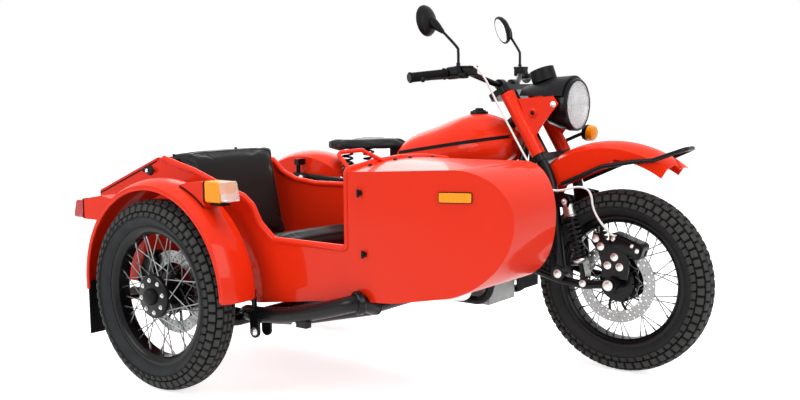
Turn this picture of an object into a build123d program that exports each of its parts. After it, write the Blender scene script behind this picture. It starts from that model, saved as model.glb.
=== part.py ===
from build123d import *
import math
import os

os.makedirs("parts", exist_ok=True)

# Layout in millimetres: X forward from the rear axle, Y to the rider's left, Z up from the ground.
wheelbase = 1500.0
track = 1140.0
sidecar_lead = 315.0
seat_gap = 0.3

# Wheels: all three are alike.
tyre_radius = 332.0
tyre_half_width = 56.0
bead_radius = 232.0
flange_height = 11.0
rim_half_width = 36.0
rim_inner_radius = 213.0
spoke_radius = 2.0
spoke_count = 40
spoke_sweep = 48.0
hub_flange_radius = 76.0
axle_radius = 12.0
axle_bore = axle_radius + seat_gap
disc_outer_radius = 146.0
disc_inner_radius = 104.0
disc_near = -58.0
disc_thickness = 5.0
disc_clearance = 6.0

# Steering head and leading-link fork.
rake = math.radians(31.0)
head_x = wheelbase - 480.0
head_z = 1000.0
leg_offset = 45.0
leg_y = 100.0
leg_radius = 20.0
shroud_radius = 27.0
upper_yoke_at = 0.0
lower_yoke_at = 295.0
yoke_thickness = 24.0
head_tube_radius = 31.0
stem_radius = 14.0
pivot_x = wheelbase - 200.0
pivot_z = 361.0
loop_radius = 15.0
loop_back_x = wheelbase - 380.0

# Front fender: a long arc over the wheel, then a tighter one down behind it.
fender_x = wheelbase - 38.0
fender_z = 399.0
fender_radius = 439.0
fender_back_radius = 330.0
fender_join = 18.0
fender_drop = 24.0
fender_half_width = leg_y - leg_radius - seat_gap
fender_spine = 38.0
sheet = 4.0
stay_radius = 8.0

# Headlamp.
lamp_x = wheelbase - 195.0
lamp_z = 966.0
lens_radius = 88.0
ring_radius = 97.0

# Sidecar tub.
tub_to_bike = 430.0
tub_to_wheel = 140.0
nose_half_width = (track - tub_to_bike - tub_to_wheel) / 2.0
tub_y = -tub_to_bike - nose_half_width
nose_taper = 159.0
nose_back_x = 1043.0
nose_tip_x = 1540.0
nose_tip_half_width = nose_half_width - nose_taper
nose_top_z = 790.0
nose_crown = 28.0
nose_top_radius = 158.0
nose_low_radius = 230.0
body_half_width = nose_half_width - 5.0
wall = 10.0
tub_floor_z = 318.0
floor_knee_x = 640.0
floor_front_z = 378.0
tub_rear_x = -220.0
bulkhead_x = 140.0
trunk_top_z = 781.0
trunk_rear_z = 640.0
sill_z = 538.0
bead_tube = 11.0
rim_bend = 17.0

# Sidecar wheel fender.
side_fender_radius = tyre_radius + 52.0
side_fender_z = tyre_radius + 18.0
side_fender_inner_y = 90.0 - track
side_fender_outer_y = -52.0 - track
lamp_outer_y = -10.0 - track
lamp_inner_y = 50.0 - track

# Rear arm pivot.
pivot_rear_x = 392.0
pivot_face_y = 119.0

# Centre stand pivot.
stand_x = 480.0
stand_z = 182.0
stand_radius = 10.0

# Engine.
crank_z = 420.0
cylinder_x = 870.0
case_half_width = 118.0
barrel_end = 238.0
head_end = 322.0
cover_end = 378.0
fin_count = 9


def block(x0, x1, y0, y1, z0, z1):
    return Pos((x0 + x1) / 2, (y0 + y1) / 2, (z0 + z1) / 2) * Box(x1 - x0, y1 - y0, z1 - z0)


def rod(a, b, radius):
    direction = Vector(*b) - Vector(*a)
    plane = Plane(origin=a, z_dir=direction)
    return extrude(plane * Circle(radius), direction.length)


def tube(points, radius, bend):
    path = FilletPolyline(*points, radius=bend) if len(points) > 2 else Line(*points)
    direction = Vector(*points[1]) - Vector(*points[0])
    section = Plane(origin=points[0], z_dir=direction) * Circle(radius)
    return sweep(section, path=path)


def side_face(lines, y):
    return Plane(origin=(0, y, 0), x_dir=(1, 0, 0), z_dir=(0, -1, 0)) * make_face(lines)


def plate(points, y0, y1):
    outline = Polyline(*points, close=True)
    return extrude(side_face(outline, y1), y1 - y0)


def spin(points, x=0.0, z=0.0):
    plane = Plane(origin=(x, 0, z), x_dir=(0, 1, 0), z_dir=(1, 0, 0))
    return revolve(plane * make_face(Polyline(*points, close=True)), Axis((x, 0, z), (0, 1, 0)))


def arch(face, x, z, back, front):
    axis = Axis((x, 0, z), (0, 1, 0))
    plane = Plane(origin=(x, 0, z), x_dir=(0, 1, 0), z_dir=(1, 0, 0))
    body = revolve(plane * face, axis, front - back)
    return body.rotate(axis, back)


def fork_point(along, forward, y):
    x = head_x + along * math.sin(rake) + forward * math.cos(rake)
    z = head_z - along * math.cos(rake) + forward * math.sin(rake)
    return (x, y, z)


def ahead_of(start, points):
    return [(start + point[0], *point[1:]) for point in points]


def fender_face(half, radius, drop, skirt):
    crown = radius - drop
    inner = half - sheet
    outline = Polyline((-half, skirt), (-half, crown))
    outline += ThreePointArc((-half, crown), (0, radius), (half, crown))
    outline += Polyline((half, crown), (half, skirt), (inner, skirt), (inner, crown - 2.0))
    outline += ThreePointArc((inner, crown - 2.0), (0, radius - sheet), (-inner, crown - 2.0))
    outline += Polyline((-inner, crown - 2.0), (-inner, skirt), (-half, skirt))
    return make_face(outline)


def both_sides(shape):
    return [shape, mirror(shape, about=Plane.XZ)]


nodes = {}

# Wheel pieces round the Y axis; the brake disc is on the -Y side, the cap on the +Y side.
tyre_half = [
    (rim_half_width - 4.3, bead_radius + 0.2),
    (rim_half_width - 4.3, bead_radius + flange_height + 1.2),
    (tyre_half_width, 280.0),
    (48.0, 318.0),
    (22.0, tyre_radius),
]
tyre = spin(tyre_half + [(-y, r) for y, r in reversed(tyre_half)])

rim_half = [
    (0.0, 222.0),
    (13.0, 222.0),
    (17.0, bead_radius),
    (rim_half_width - 4.0, bead_radius),
    (rim_half_width - 4.0, bead_radius + flange_height),
    (rim_half_width, bead_radius + flange_height),
    (rim_half_width, 226.0),
    (20.0, rim_inner_radius),
    (0.0, rim_inner_radius),
]
rim = spin(rim_half + [(-y, r) for y, r in reversed(rim_half[1:-1])])

hub = spin([
    (-52.0, axle_bore),
    (-52.0, 58.0),
    (-34.0, 58.0),
    (-34.0, hub_flange_radius),
    (-28.0, hub_flange_radius),
    (-28.0, 44.0),
    (28.0, 44.0),
    (28.0, hub_flange_radius),
    (40.0, hub_flange_radius),
    (44.0, 72.0),
    (44.0, 40.0),
    (62.0, 34.0),
    (66.0, 24.0),
    (66.0, axle_bore),
])
spokes = []
for index in range(spoke_count):
    side = 1.0 if index % 2 == 0 else -1.0
    turn = 1.0 if (index // 2) % 2 == 0 else -1.0
    rim_angle = math.radians(360.0 / spoke_count * index)
    hub_angle = rim_angle + turn * math.radians(spoke_sweep)
    hub_y = side * (31.0 + 4.0 * turn)
    inner = (66.0 * math.cos(hub_angle), hub_y, 66.0 * math.sin(hub_angle))
    outer_radius = rim_inner_radius + 2.0
    outer = (outer_radius * math.cos(rim_angle), side * 8.0, outer_radius * math.sin(rim_angle))
    spokes.append(rod(inner, outer, spoke_radius))
wire_wheel = rim + hub + spokes

disc = spin([
    (disc_near, disc_inner_radius),
    (disc_near, disc_outer_radius),
    (disc_near + disc_thickness, disc_outer_radius),
    (disc_near + disc_thickness, disc_inner_radius),
])
carrier = spin([
    (disc_near, 42.0),
    (disc_near, 66.0),
    (-52.0 - seat_gap, 66.0),
    (-52.0 - seat_gap, 42.0),
])
arms = []
for index in range(10):
    arm = block(60.0, disc_inner_radius + 6.0, disc_near + 0.5, -53.5, -5.0, 5.0)
    arms.append(arm.rotate(Axis.Y, 36.0 * index))
brake_disc = disc + carrier + arms

wheel_spots = {
    "front": (wheelbase, 0.0, False),
    "rear": (0.0, 0.0, True),
    "sidecar": (sidecar_lead, -track, True),
}
for name, (x, y, turned) in wheel_spots.items():
    spot = Pos(x, y, tyre_radius) * Rot(0, 0, 180.0 if turned else 0.0)
    nodes[name + "_tyre"] = spot * tyre
    nodes[name + "_wheel"] = spot * wire_wheel
    nodes[name + "_disc"] = spot * brake_disc

# Fork: legs, yokes, stem, lower loop that carries the axle.
leg_bend = fork_point(388.0, leg_offset, leg_y)
leg_foot = (pivot_x - 2.0, leg_y, pivot_z)
leg = tube([fork_point(-12.0, leg_offset, leg_y), leg_bend, leg_foot], leg_radius, 250.0)
stem = rod(fork_point(-10.0, 0, 0), fork_point(lower_yoke_at + 10.0, 0, 0), stem_radius)
yokes = []
for along in (upper_yoke_at, lower_yoke_at):
    plane = Plane(origin=fork_point(along, leg_offset / 2, 0), x_dir=(0, 1, 0),
                  z_dir=(-math.sin(rake), 0, math.cos(rake)))
    outline = RectangleRounded(2 * leg_y + 58.0, leg_offset + 44.0, 20.0)
    yokes.append(extrude(plane * outline, yoke_thickness / 2, both=True))
loop_half = [
    (wheelbase, tyre_radius),
    (pivot_x + 95.0, 318.0),
    (pivot_x, 326.0),
    (loop_back_x, 372.0),
]
loop_y = leg_y + 2.0
loop_points = [(x, -loop_y, z) for x, z in loop_half] + [(x, loop_y, z) for x, z in reversed(loop_half)]
loop = tube(loop_points, loop_radius, 40.0)
knuckles = [rod((wheelbase, -118.0, tyre_radius), (wheelbase, -86.0, tyre_radius), 26.0),
            rod((wheelbase, 86.0, tyre_radius), (wheelbase, 118.0, tyre_radius), 26.0)]
front_axle = rod((wheelbase, -130.0, tyre_radius), (wheelbase, 130.0, tyre_radius), axle_radius)
pivots = [rod((pivot_x, side * 78.0, pivot_z - 8.0), (pivot_x, side * 128.0, pivot_z - 8.0), 27.0)
          for side in (-1, 1)]
plate_outline = [(-38, 352), (56, 352), (66, 420), (48, 448), (-14, 476), (-44, 512), (-78, 508),
                 (-84, 478), (-54, 440),
                 (-44, 400)]
caliper_plate = plate(ahead_of(wheelbase, plate_outline), -94.0, -88.0)
lug_outline = [(-44, 594), (38, 600), (44, 618), (38, 640), (-44, 652)]
lugs = []
for side in (-1, 1):
    for near in (16.0, -21.0):
        y = side * loop_y + near
        lugs.append(plate(ahead_of(pivot_x, lug_outline), y, y + 5.0))
fork = leg + mirror(leg, about=Plane.XZ) + stem + yokes + loop + knuckles + front_axle + pivots
fork = fork + caliper_plate + lugs
nodes["fork"] = fork

# Red shrouds over the upper legs with the headlamp ears.
shroud = rod(fork_point(16.0, leg_offset, leg_y), fork_point(280.0, leg_offset, leg_y), shroud_radius)
shroud -= rod(fork_point(0.0, leg_offset, leg_y), fork_point(330.0, leg_offset, leg_y),
              leg_radius + seat_gap)
ear_outline = [(-185, 990), (-43, 1000), (-21, 972), (-43, 945), (-77, 905), (-115, 850), (-140, 880)]
ear = plate(ahead_of(lamp_x, ear_outline), leg_y + 2.0, leg_y + 8.0)
ear -= rod(fork_point(0.0, leg_offset, leg_y), fork_point(330.0, leg_offset, leg_y), leg_radius + seat_gap)
shroud = shroud + ear
nodes["fork_shrouds"] = Compound(children=both_sides(shroud))

# Coil-over shocks of the front links.
shock_top = (pivot_x + 22.0, 618.0)
shock_foot = (pivot_x + 96.0, 326.0)
shocks = []
for side in (-1, 1):
    y = side * loop_y
    direction = Vector(shock_foot[0] - shock_top[0], 0, shock_foot[1] - shock_top[1]).normalized()
    top = Vector(shock_top[0], y, shock_top[1])
    length = math.dist(shock_top, shock_foot)
    upper = top + direction * 30.0
    lower = top + direction * (length - 66.0)
    body = rod(tuple(top), tuple(top + direction * length), 11.0)
    body += rod(tuple(upper), tuple(lower), 24.0)
    body += rod(tuple(top + direction * 20.0), tuple(top + direction * 52.0), 28.0)
    body += rod((top.X, y - 15.8, top.Z), (top.X, y + 15.8, top.Z), 17.0)
    body -= fork
    shocks.append(body)
nodes["front_shocks"] = Compound(children=shocks)

# Front caliper over the disc.
caliper = block(-66.0, 66.0, -88.0 + seat_gap, -36.0, 116.0, 176.0)
caliper = fillet(caliper.edges().filter_by(Axis.Y), 16.0)
caliper -= block(-90.0, 90.0, disc_near - disc_clearance, disc_near + disc_thickness + disc_clearance,
                 80.0, 154.0)
nodes["front_caliper"] = Pos(wheelbase, 0, tyre_radius) * caliper.rotate(Axis.Y, 18.0)

# Front fender with deep skirts behind, shallow ones in front and a narrow spine at the tip.
join = math.radians(fender_join)
back_x = fender_x - (fender_radius - fender_back_radius) * math.sin(join)
back_z = fender_z + (fender_radius - fender_back_radius) * math.cos(join)
skirt_depth = 112.0
deep_back = fender_face(fender_half_width, fender_back_radius, fender_drop,
                        fender_back_radius - skirt_depth)
deep_front = fender_face(fender_half_width, fender_radius, fender_drop, fender_radius - skirt_depth)
shallow = fender_face(fender_half_width, fender_radius, fender_drop, fender_radius - 61.0)
front_fender = arch(deep_back, back_x, back_z, -90.0, -fender_join)
front_fender += arch(deep_front, fender_x, fender_z, -fender_join, 4.0)
skirt_cut = [(-282, 470), (-282, 512), (-277, 570), (-232, 657.5), (38, 772.5), (38, 470)]
front_fender -= plate(ahead_of(fender_x, skirt_cut), -100.0, 100.0)
front_fender += arch(shallow, fender_x, fender_z, 4.0, 33.0)
spine = arch(shallow, fender_x, fender_z, 33.0, 36.2)
front_fender += spine & block(fender_x, fender_x + fender_radius, -fender_spine, fender_spine, 600.0, 900.0)
nodes["front_fender"] = front_fender
flap_back_x = back_x - fender_back_radius
nodes["front_flap"] = block(flap_back_x, flap_back_x + sheet, -fender_half_width, fender_half_width, 257.0,
                            back_z - 0.2)
stay_y = fender_half_width + stay_radius + seat_gap
stay_half = ahead_of(fender_x, [(-170, stay_y, 679), (-12, stay_y, 749), (100, stay_y, 770),
                                (180, stay_y, 779), (274, 42, 817)])
stay_points = stay_half + [(x, -y, z) for x, y, z in reversed(stay_half)]
nodes["fender_stay"] = tube(stay_points, stay_radius, 32.0)

# Headlamp bucket, lens and the cowl with the gauge above it.
lamp_axis = Axis((lamp_x, 0, lamp_z), (1, 0, 0))
lamp_plane = Plane(origin=(lamp_x, 0, lamp_z), x_dir=(1, 0, 0), z_dir=(0, -1, 0))
bucket = Polyline((0, 0), (-130, 0), (-130, 40))
bucket += ThreePointArc((-130, 40), (-95, 76), (-45, 92))
bucket += Polyline((-45, 92), (-24, 93), (-24, ring_radius), (4, ring_radius), (8, 92),
                   (8, lens_radius + seat_gap),
                   (0, lens_radius + seat_gap), (0, 0))
nodes["headlamp"] = revolve(lamp_plane * make_face(bucket), lamp_axis)
lens_bulge = 14.0
lens_ball = (lens_radius ** 2 + lens_bulge ** 2) / (2.0 * lens_bulge)
lens_half = math.asin(lens_radius / lens_ball) / 2.0
lens_mid = (6.0 + lens_bulge - lens_ball * (1.0 - math.cos(lens_half)), lens_ball * math.sin(lens_half))
lens = Polyline((6.0 + lens_bulge, 0), (seat_gap, 0), (seat_gap, lens_radius), (6.0, lens_radius))
lens += ThreePointArc((6.0, lens_radius), lens_mid, (6.0 + lens_bulge, 0))
nodes["headlamp_lens"] = revolve(lamp_plane * make_face(lens), lamp_axis)
visor = Polyline((-208, 72), (-75, 104), (-10, 108), (-10, ring_radius + seat_gap),
                 (-75, ring_radius + seat_gap),
                 (-208, 66), (-208, 72))
cowl = revolve(lamp_plane * make_face(visor), lamp_axis)
cowl &= block(lamp_x - 245.0, lamp_x + 15.0, -120.0, 120.0, 1000.0, 1120.0)
gauge_direction = Vector(-0.35, 0, 0.937)
gauge_foot = Vector(lamp_x - 133.0, 0, 1052)
cowl += rod(tuple(gauge_foot), tuple(gauge_foot + gauge_direction * 48.0), 47.0)
nodes["cowl"] = cowl

# Handlebar with grips, controls and mirrors.
bar_x, bar_middle_y, bar_z = fork_point(-46.0, 8.0, 0.0)
bar_half = [
    (bar_x, bar_middle_y, bar_z),
    (bar_x, 75.0, bar_z),
    (head_x - 72.0, 200.0, 1092.0),
    (head_x - 172.0, 419.0, 1070.0),
]
bar_points = [(x, -y, z) for x, y, z in reversed(bar_half[1:])] + bar_half[1:]
bar = tube(bar_points, 11.0, 45.0)
grip = rod((head_x - 112.0, 287.7, 1083.2), (head_x - 173.0, 421.0, 1069.7), 17.0)
clamps = [rod((bar_x, y - 14.0, bar_z), (bar_x, y + 14.0, bar_z), 20.0) for y in (-45.0, 45.0)]
risers = [rod((bar_x, y, bar_z), fork_point(-yoke_thickness / 2 - 0.2, 8.0, y), 14.0) for y in (-45.0,
                                                                                                45.0)]
nodes["handlebar"] = bar + both_sides(grip) + clamps + risers
bar_hole = tube(bar_points, 11.0 + seat_gap, 45.0)
control_list = []
for side in (-1, 1):
    lever = ahead_of(head_x, [(-65, side * 228, 1086), (-60, side * 290, 1078), (-115, side * 415, 1064)])
    housing = rod((head_x - 86.0, side * 231.0, 1089.0), (head_x - 109.0, side * 281.0, 1084.0), 23.0)
    housing += block(head_x - 90.0, head_x - 45.0, side * 220.0 - 32.0, side * 220.0 + 32.0, 1094.0, 1134.0)
    housing += tube(lever, 6.0, 20.0)
    housing += Pos(*lever[-1]) * Sphere(10.0)
    control_list.append(housing - bar_hole)
nodes["controls"] = Compound(children=control_list)
mirror_list = []
for side in (-1, 1):
    stalk_path = [(-68, side * 214, 1134.2), (-68, side * 214, 1170), (-90, side * 222, 1216),
                  (-198, side * 262, 1262)]
    stalk = tube(ahead_of(head_x, stalk_path), 5.5, 16.0)
    face = Plane(origin=(head_x - 220.0, side * 268.0, 1280.0), z_dir=(1.0, side * 0.12, -0.06))
    head = extrude(face * Circle(58.0), 22.0, taper=14.0)
    mirror_list.append(stalk + head)
nodes["mirrors"] = Compound(children=mirror_list)

# Left turn signals on the bike; the right ones are on the sidecar.
signal = rod((head_x + 230.0, 165.0, 858.0), (head_x + 285.0, 165.0, 852.0), 32.0)
signal += rod((head_x + 230.0, 165.0, 856.0), (head_x + 166.0, 127.5, 822.0), 7.0)
signal -= rod(fork_point(0.0, leg_offset, leg_y), fork_point(330.0, leg_offset, leg_y),
              shroud_radius + seat_gap)
nodes["front_signal"] = signal

# Hoses that end on the steered parts.
hose_path = [(-44.8, -205, 1112), (-10, -205, 1112), (40, -150, 960), (212, -132, 668), (280, -130, 654),
             (365, -130, 682),
             (412, -129, 664), (418, -128, 590), (488, -118, 505), (488, -87.9, 505)]
hose = tube(ahead_of(head_x, hose_path), 4.0, 22.0)
nodes["hoses"] = hose

# Bike frame: head tube, backbone, double cradle.
head_tube = rod(fork_point(upper_yoke_at + yoke_thickness / 2 + 0.5, 0, 0),
                fork_point(lower_yoke_at - yoke_thickness / 2 - 0.5, 0, 0), head_tube_radius)
backbone = tube([fork_point(90.0, -8.0, 0), (900.0, 0.0, 800.0), (440.0, 0.0, 690.0)], 22.0, 120.0)
cradle = tube([fork_point(195.0, -10.0, 24.0), (head_x + 8.0, 128.0, 320.0), (head_x - 20.0, 140.0, 212.0),
               (450.0, 140.0, 212.0), (405.0, 136.0, 330.0), (262.0, 118.0, 600.0)], 16.0, 60.0)
seat_rail = tube([(900.0, 0.0, 792.0), (440.0, 90.0, 660.0), (262.0, 118.0, 640.0), (-20.0, 118.0, 655.0)],
                 14.0, 60.0)
cross_rods = [rod((275.0, -118.0, 640.0), (275.0, 118.0, 640.0), 12.0),
              rod((440.0, -90.0, 660.0), (440.0, 90.0, 660.0), 14.0),
              rod((470.0, -140.0, 212.0), (470.0, 140.0, 212.0), 14.0),
              rod((head_x - 60.0, -140.0, 212.0), (head_x - 60.0, 140.0, 212.0), 14.0)]
frame = head_tube + backbone + both_sides(cradle) + both_sides(seat_rail) + cross_rods
frame += both_sides(rod((262.0, 118.0, 590.0), (262.0, 118.0, 650.0), 16.0))
for side in (-1, 1):
    frame += block(-12.0, 12.0, min(side * 84.2, side * 130.0), max(side * 84.2, side * 130.0), 700.0,
                   726.0)
    frame += rod((0.0, side * 118.0, 650.0), (0.0, side * 118.0, 713.0), 10.0)
    frame += rod((60.0, side * 118.0, 648.0), (60.0, side * 132.0, 648.0), 14.0)
    stand_lug = plate([(stand_x - 16, 166), (stand_x + 16, 166), (stand_x + 24, 212), (stand_x - 24, 212)],
                      side * 140.0 - 8.0, side * 140.0 + 8.0)
    frame += stand_lug
    frame += block(573.0, 597.0, side * 140.0 - 9.0, side * 140.0 + 9.0, 214.0, 268.0)
    frame += rod((585.0, side * 140.0, 256.0), (585.0, side * 262.0, 260.0), 11.0)
    pivot_ends = sorted((side * pivot_face_y, side * 140.0))
    frame += block(pivot_rear_x - 20.0, pivot_rear_x + 20.0, *pivot_ends, 312.0, 348.0)
frame -= rod((stand_x, -160.0, stand_z), (stand_x, 160.0, stand_z), stand_radius + seat_gap)
frame -= rod(fork_point(-30.0, 0, 0), fork_point(330.0, 0, 0), stem_radius + seat_gap)
nodes["frame"] = frame

# Engine: crankcase with gearbox, two finned barrels, heads.
case = block(640.0, 1000.0, -case_half_width, case_half_width, 262.0, 560.0)
case += block(700.0, 985.0, -96.0, 96.0, 188.0, 262.0)
case += rod((1000.0, 0.0, crank_z), (1034.0, 0.0, crank_z), 100.0)
case += block(430.0, 640.0, -100.0, 100.0, 250.0, 500.0)
case += rod((420.0, 0.0, 340.0), (430.0, 0.0, 340.0), 60.0)
nodes["engine_case"] = case - frame
barrels = []
heads = []
for side in (-1, 1):
    x = cylinder_x + 15.0 * side
    barrel = rod((x, side * (case_half_width + 0.2), crank_z), (x, side * barrel_end, crank_z), 56.0)
    step = (barrel_end - case_half_width - 10.0) / fin_count
    fins = []
    for index in range(fin_count):
        y = case_half_width + 10.0 + step * index
        fins.append(rod((x, side * y, crank_z), (x, side * (y + 5.0), crank_z), 78.0))
    barrels.append(barrel + fins)
    head = rod((x, side * (barrel_end + 0.2), crank_z), (x, side * head_end, crank_z), 66.0)
    for index in range(5):
        y = barrel_end + 12.0 + 15.0 * index
        fin = block(x - 88.0, x + 88.0, min(side * y, side * (y + 5.0)), max(side * y, side * (y + 5.0)),
                    crank_z - 84.0, crank_z + 84.0)
        head += fin
    cover = block(x - 80.0, x + 80.0, min(side * head_end, side * cover_end),
                  max(side * head_end, side * cover_end),
                  crank_z - 58.0, crank_z + 58.0)
    cover = fillet(cover.edges().filter_by(Axis.Y), 50.0)
    heads.append(head + cover)
nodes["cylinders"] = Compound(children=barrels)
nodes["cylinder_heads"] = Compound(children=heads)

# Exhaust: header, low silencer each side.
silencer_front_x = 345.0
silencer_rear_x = -265.0
silencer_z = 216.0
silencer_y = 205.0
exhaust_solids = []
for side in (-1, 1):
    x = cylinder_x + 15.0 * side
    header = tube([(x + 80.0, side * 300.0, crank_z - 20.0), (x + 130.0, side * 300.0, crank_z - 40.0),
                   (x + 130.0, side * 235.0, 250.0), (740.0, side * silencer_y, silencer_z),
                   (silencer_front_x + 0.3, side * silencer_y, silencer_z)], 19.0, 50.0)
    axis_plane = Plane(origin=(0, side * silencer_y, silencer_z), x_dir=(1, 0, 0), z_dir=(0, -1, 0))
    muffler = Polyline((silencer_front_x, 0), (silencer_front_x, 22), (silencer_front_x - 70.0, 41),
                       (silencer_rear_x + 30.0, 41), (silencer_rear_x, 28), (silencer_rear_x, 0),
                       (silencer_front_x, 0))
    silencer = revolve(axis_plane * make_face(muffler), Axis((0, side * silencer_y, silencer_z), (1, 0, 0)))
    exhaust_solids += [header - heads[0] - heads[1], silencer]
nodes["exhaust"] = Compound(children=exhaust_solids)

# Rear suspension: arms, final drive, axle, shocks.
rear_arm = tube([(pivot_rear_x, 98.0, 330.0), (250.0, 98.0, 331.0), (120.0, 118.0, tyre_radius),
                 (-6.0, 118.0, tyre_radius)], 16.0, 60.0)
swing = rear_arm + mirror(rear_arm, about=Plane.XZ)
swing += rod((0.0, -130.0, tyre_radius), (0.0, 130.0, tyre_radius), axle_radius)
swing += rod((0.0, -139.0, tyre_radius), (0.0, -71.0, tyre_radius), 92.0)
swing += rod((0.0, 139.0, tyre_radius), (0.0, 97.0, tyre_radius), 30.0)
swing += rod((pivot_rear_x, -114.0, 330.0), (pivot_rear_x, 114.0, 330.0), 21.0)
swing += rod((pivot_rear_x, -pivot_face_y + 0.2, 330.0), (pivot_rear_x, pivot_face_y - 0.2, 330.0), 10.0)
nodes["rear_swingarm"] = swing
rear_shocks = []
for side in (-1, 1):
    top = Vector(60.0, side * 150.0, 640.0)
    foot = Vector(20.0, side * 152.0, 352.0)
    direction = (foot - top).normalized()
    length = (foot - top).length
    shock = rod(tuple(top), tuple(foot), 11.0)
    shock += rod(tuple(top + direction * 30.0), tuple(top + direction * (length - 88.0)), 26.0)
    shock += rod((60.0, side * 132.2, 648.0), (60.0, side * 166.0, 648.0), 18.0)
    shock += rod((20.0, side * 139.2, 350.0), (20.0, side * 168.0, 350.0), 18.0)
    rear_shocks.append(shock)
nodes["rear_shocks"] = Compound(children=rear_shocks)

# Rear and sidecar calipers on plates by their axles.
hanger = plate([(-48, 20), (48, 20), (60, 130), (40, 160), (-40, 160), (-60, 130)], -96.8, -88.0)
hanger -= rod((0, -120.0, 0), (0, -60.0, 0), 14.0)
far_caliper = caliper + hanger
rear_caliper = Pos(0, 0, tyre_radius) * Rot(0, 0, 180.0) * far_caliper.rotate(Axis.Y, 62.0)

# Fuel tank: sections across the bike from the narrow back to the front.
tank_sections = [
    # x, half width, bottom, widest, top
    (505.0, 62.0, 716.0, 745.0, 776.0),
    (650.0, 122.0, 702.0, 770.0, 868.0),
    (850.0, 152.0, 700.0, 800.0, 930.0),
    (985.0, 134.0, 740.0, 814.0, 908.0),
    (1046.0, 100.0, 756.0, 818.0, 874.0),
    (1070.0, 72.0, 784.0, 826.0, 858.0),
]
tank_faces = []
for x, half, bottom, widest, top in tank_sections:
    plane = Plane(origin=(x, 0, 0), x_dir=(0, 1, 0), z_dir=(1, 0, 0))
    outline = Line((-0.7 * half, bottom), (0.7 * half, bottom))
    outline += ThreePointArc((0.7 * half, bottom), (0.95 * half, 0.6 * bottom + 0.4 * widest),
                             (half, widest))
    outline += ThreePointArc((half, widest), (0.0, top), (-half, widest))
    outline += ThreePointArc((-half, widest), (-0.95 * half, 0.6 * bottom + 0.4 * widest),
                             (-0.7 * half, bottom))
    tank_faces.append(plane * make_face(outline))
tank = loft(tank_faces)
tunnel = block(480.0, 1090.0, -30.0, 30.0, 640.0, 790.0)
tank -= tunnel
tank -= frame
nodes["fuel_tank"] = tank
cap = rod((876.0, 0.0, 905.0), (878.0, 0.0, 958.0), 36.0) - tank
nodes["fuel_cap"] = cap.solids().sort_by(Axis.Z)[-1]

# Tractor saddle with its post.
saddle_outline = Polyline((505.0, -38.0), (505.0, 38.0))
saddle_outline += ThreePointArc((505.0, 38.0), (360.0, 92.0), (240.0, 150.0))
saddle_outline += ThreePointArc((240.0, 150.0), (128.0, 0.0), (240.0, -150.0))
saddle_outline += ThreePointArc((240.0, -150.0), (360.0, -92.0), (505.0, -38.0))
saddle = extrude(Plane.XY.offset(764.0) * make_face(saddle_outline), 54.0)
saddle = fillet(saddle.faces().sort_by(Axis.Z)[-1].edges(), 22.0)
post = block(300.0, 380.0, -60.0, 60.0, 690.0, 764.0)
post += block(240.0, 400.0, -104.0, 104.0, 668.0, 690.0)
nodes["saddle"] = saddle + (post - frame)

# Rear fender over the rear wheel.
skirt = 304.0
nodes["rear_fender"] = arch(fender_face(84.0, 414.0, 24.0, skirt), -10.0, 345.0, -100.0, 36.0)
tail = block(-430.0, -330.0, -46.0, 46.0, 520.0, 580.0)
tail -= spin([(-100.0, 0.0), (-100.0, 414.3), (100.0, 414.3), (100.0, 0.0)], -10.0, 345.0)
nodes["tail_lamp"] = tail

# Tub nose: side outlines lofted across the tub for a crowned deck, cut by curved side walls.
nose_radius = ((nose_tip_x - nose_back_x) ** 2 + (nose_half_width - nose_tip_half_width) ** 2) / (
    2.0 * (nose_half_width - nose_tip_half_width))


def nose_outline(inset, crown, y):
    back = nose_back_x - (0.0 if inset == 0.0 else 5.0)
    slant = math.sqrt(0.5)
    round_z = nose_top_z - nose_top_radius
    top_x = nose_tip_x - nose_top_radius
    top_r = nose_top_radius - inset + 0.25 * crown
    low_r = nose_low_radius - inset
    low_x = nose_tip_x - nose_low_radius
    outline = Line((back, 777.0 + crown - inset), (top_x, round_z + top_r))
    top_mid = (top_x + slant * (top_r - 0.12 * crown), round_z + slant * top_r)
    low_mid = (low_x + slant * low_r, round_z - slant * low_r)
    keel_x = nose_tip_x - 160.0
    keel = (keel_x, round_z - math.sqrt(low_r ** 2 - (keel_x - low_x) ** 2))
    outline += ThreePointArc((top_x, round_z + top_r), top_mid, (nose_tip_x - inset, round_z))
    outline += ThreePointArc((nose_tip_x - inset, round_z), low_mid, keel)
    outline += Polyline(keel, (1200.0, 384.0 + inset), (back, 378.0 + inset), (back, 777.0 + crown - inset))
    return side_face(outline, y)


def nose_solid(inset):
    outer_y = nose_half_width + 12.0
    band = loft([nose_outline(inset, 0.0, tub_y + outer_y), nose_outline(inset, nose_crown, tub_y),
                 nose_outline(inset, 0.0, tub_y - outer_y)])
    half = nose_half_width - inset
    radius = nose_radius - inset
    centre_y = half - radius
    reach = math.sqrt(radius ** 2 - (radius - half) ** 2)
    far = nose_back_x + reach - 25.0
    far_half = centre_y + math.sqrt(radius ** 2 - (far - nose_back_x) ** 2)
    mid = nose_back_x + 260.0
    mid_half = centre_y + math.sqrt(radius ** 2 - 260.0 ** 2)
    behind = nose_back_x - 20.0
    plan = Polyline((nose_back_x, half), (behind, half), (behind, -half), (nose_back_x, -half))
    plan += ThreePointArc((nose_back_x, -half), (mid, -mid_half), (far, -far_half))
    plan += Line((far, -far_half), (far, far_half))
    plan += ThreePointArc((far, far_half), (mid, mid_half), (nose_back_x, half))
    column = extrude(Plane(origin=(0, tub_y, 0)) * make_face(plan), 1000.0)
    return band & column


nose_outer = nose_solid(0.0)
nose_inner = nose_solid(wall)
nodes["tub_nose"] = nose_outer - nose_inner

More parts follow.
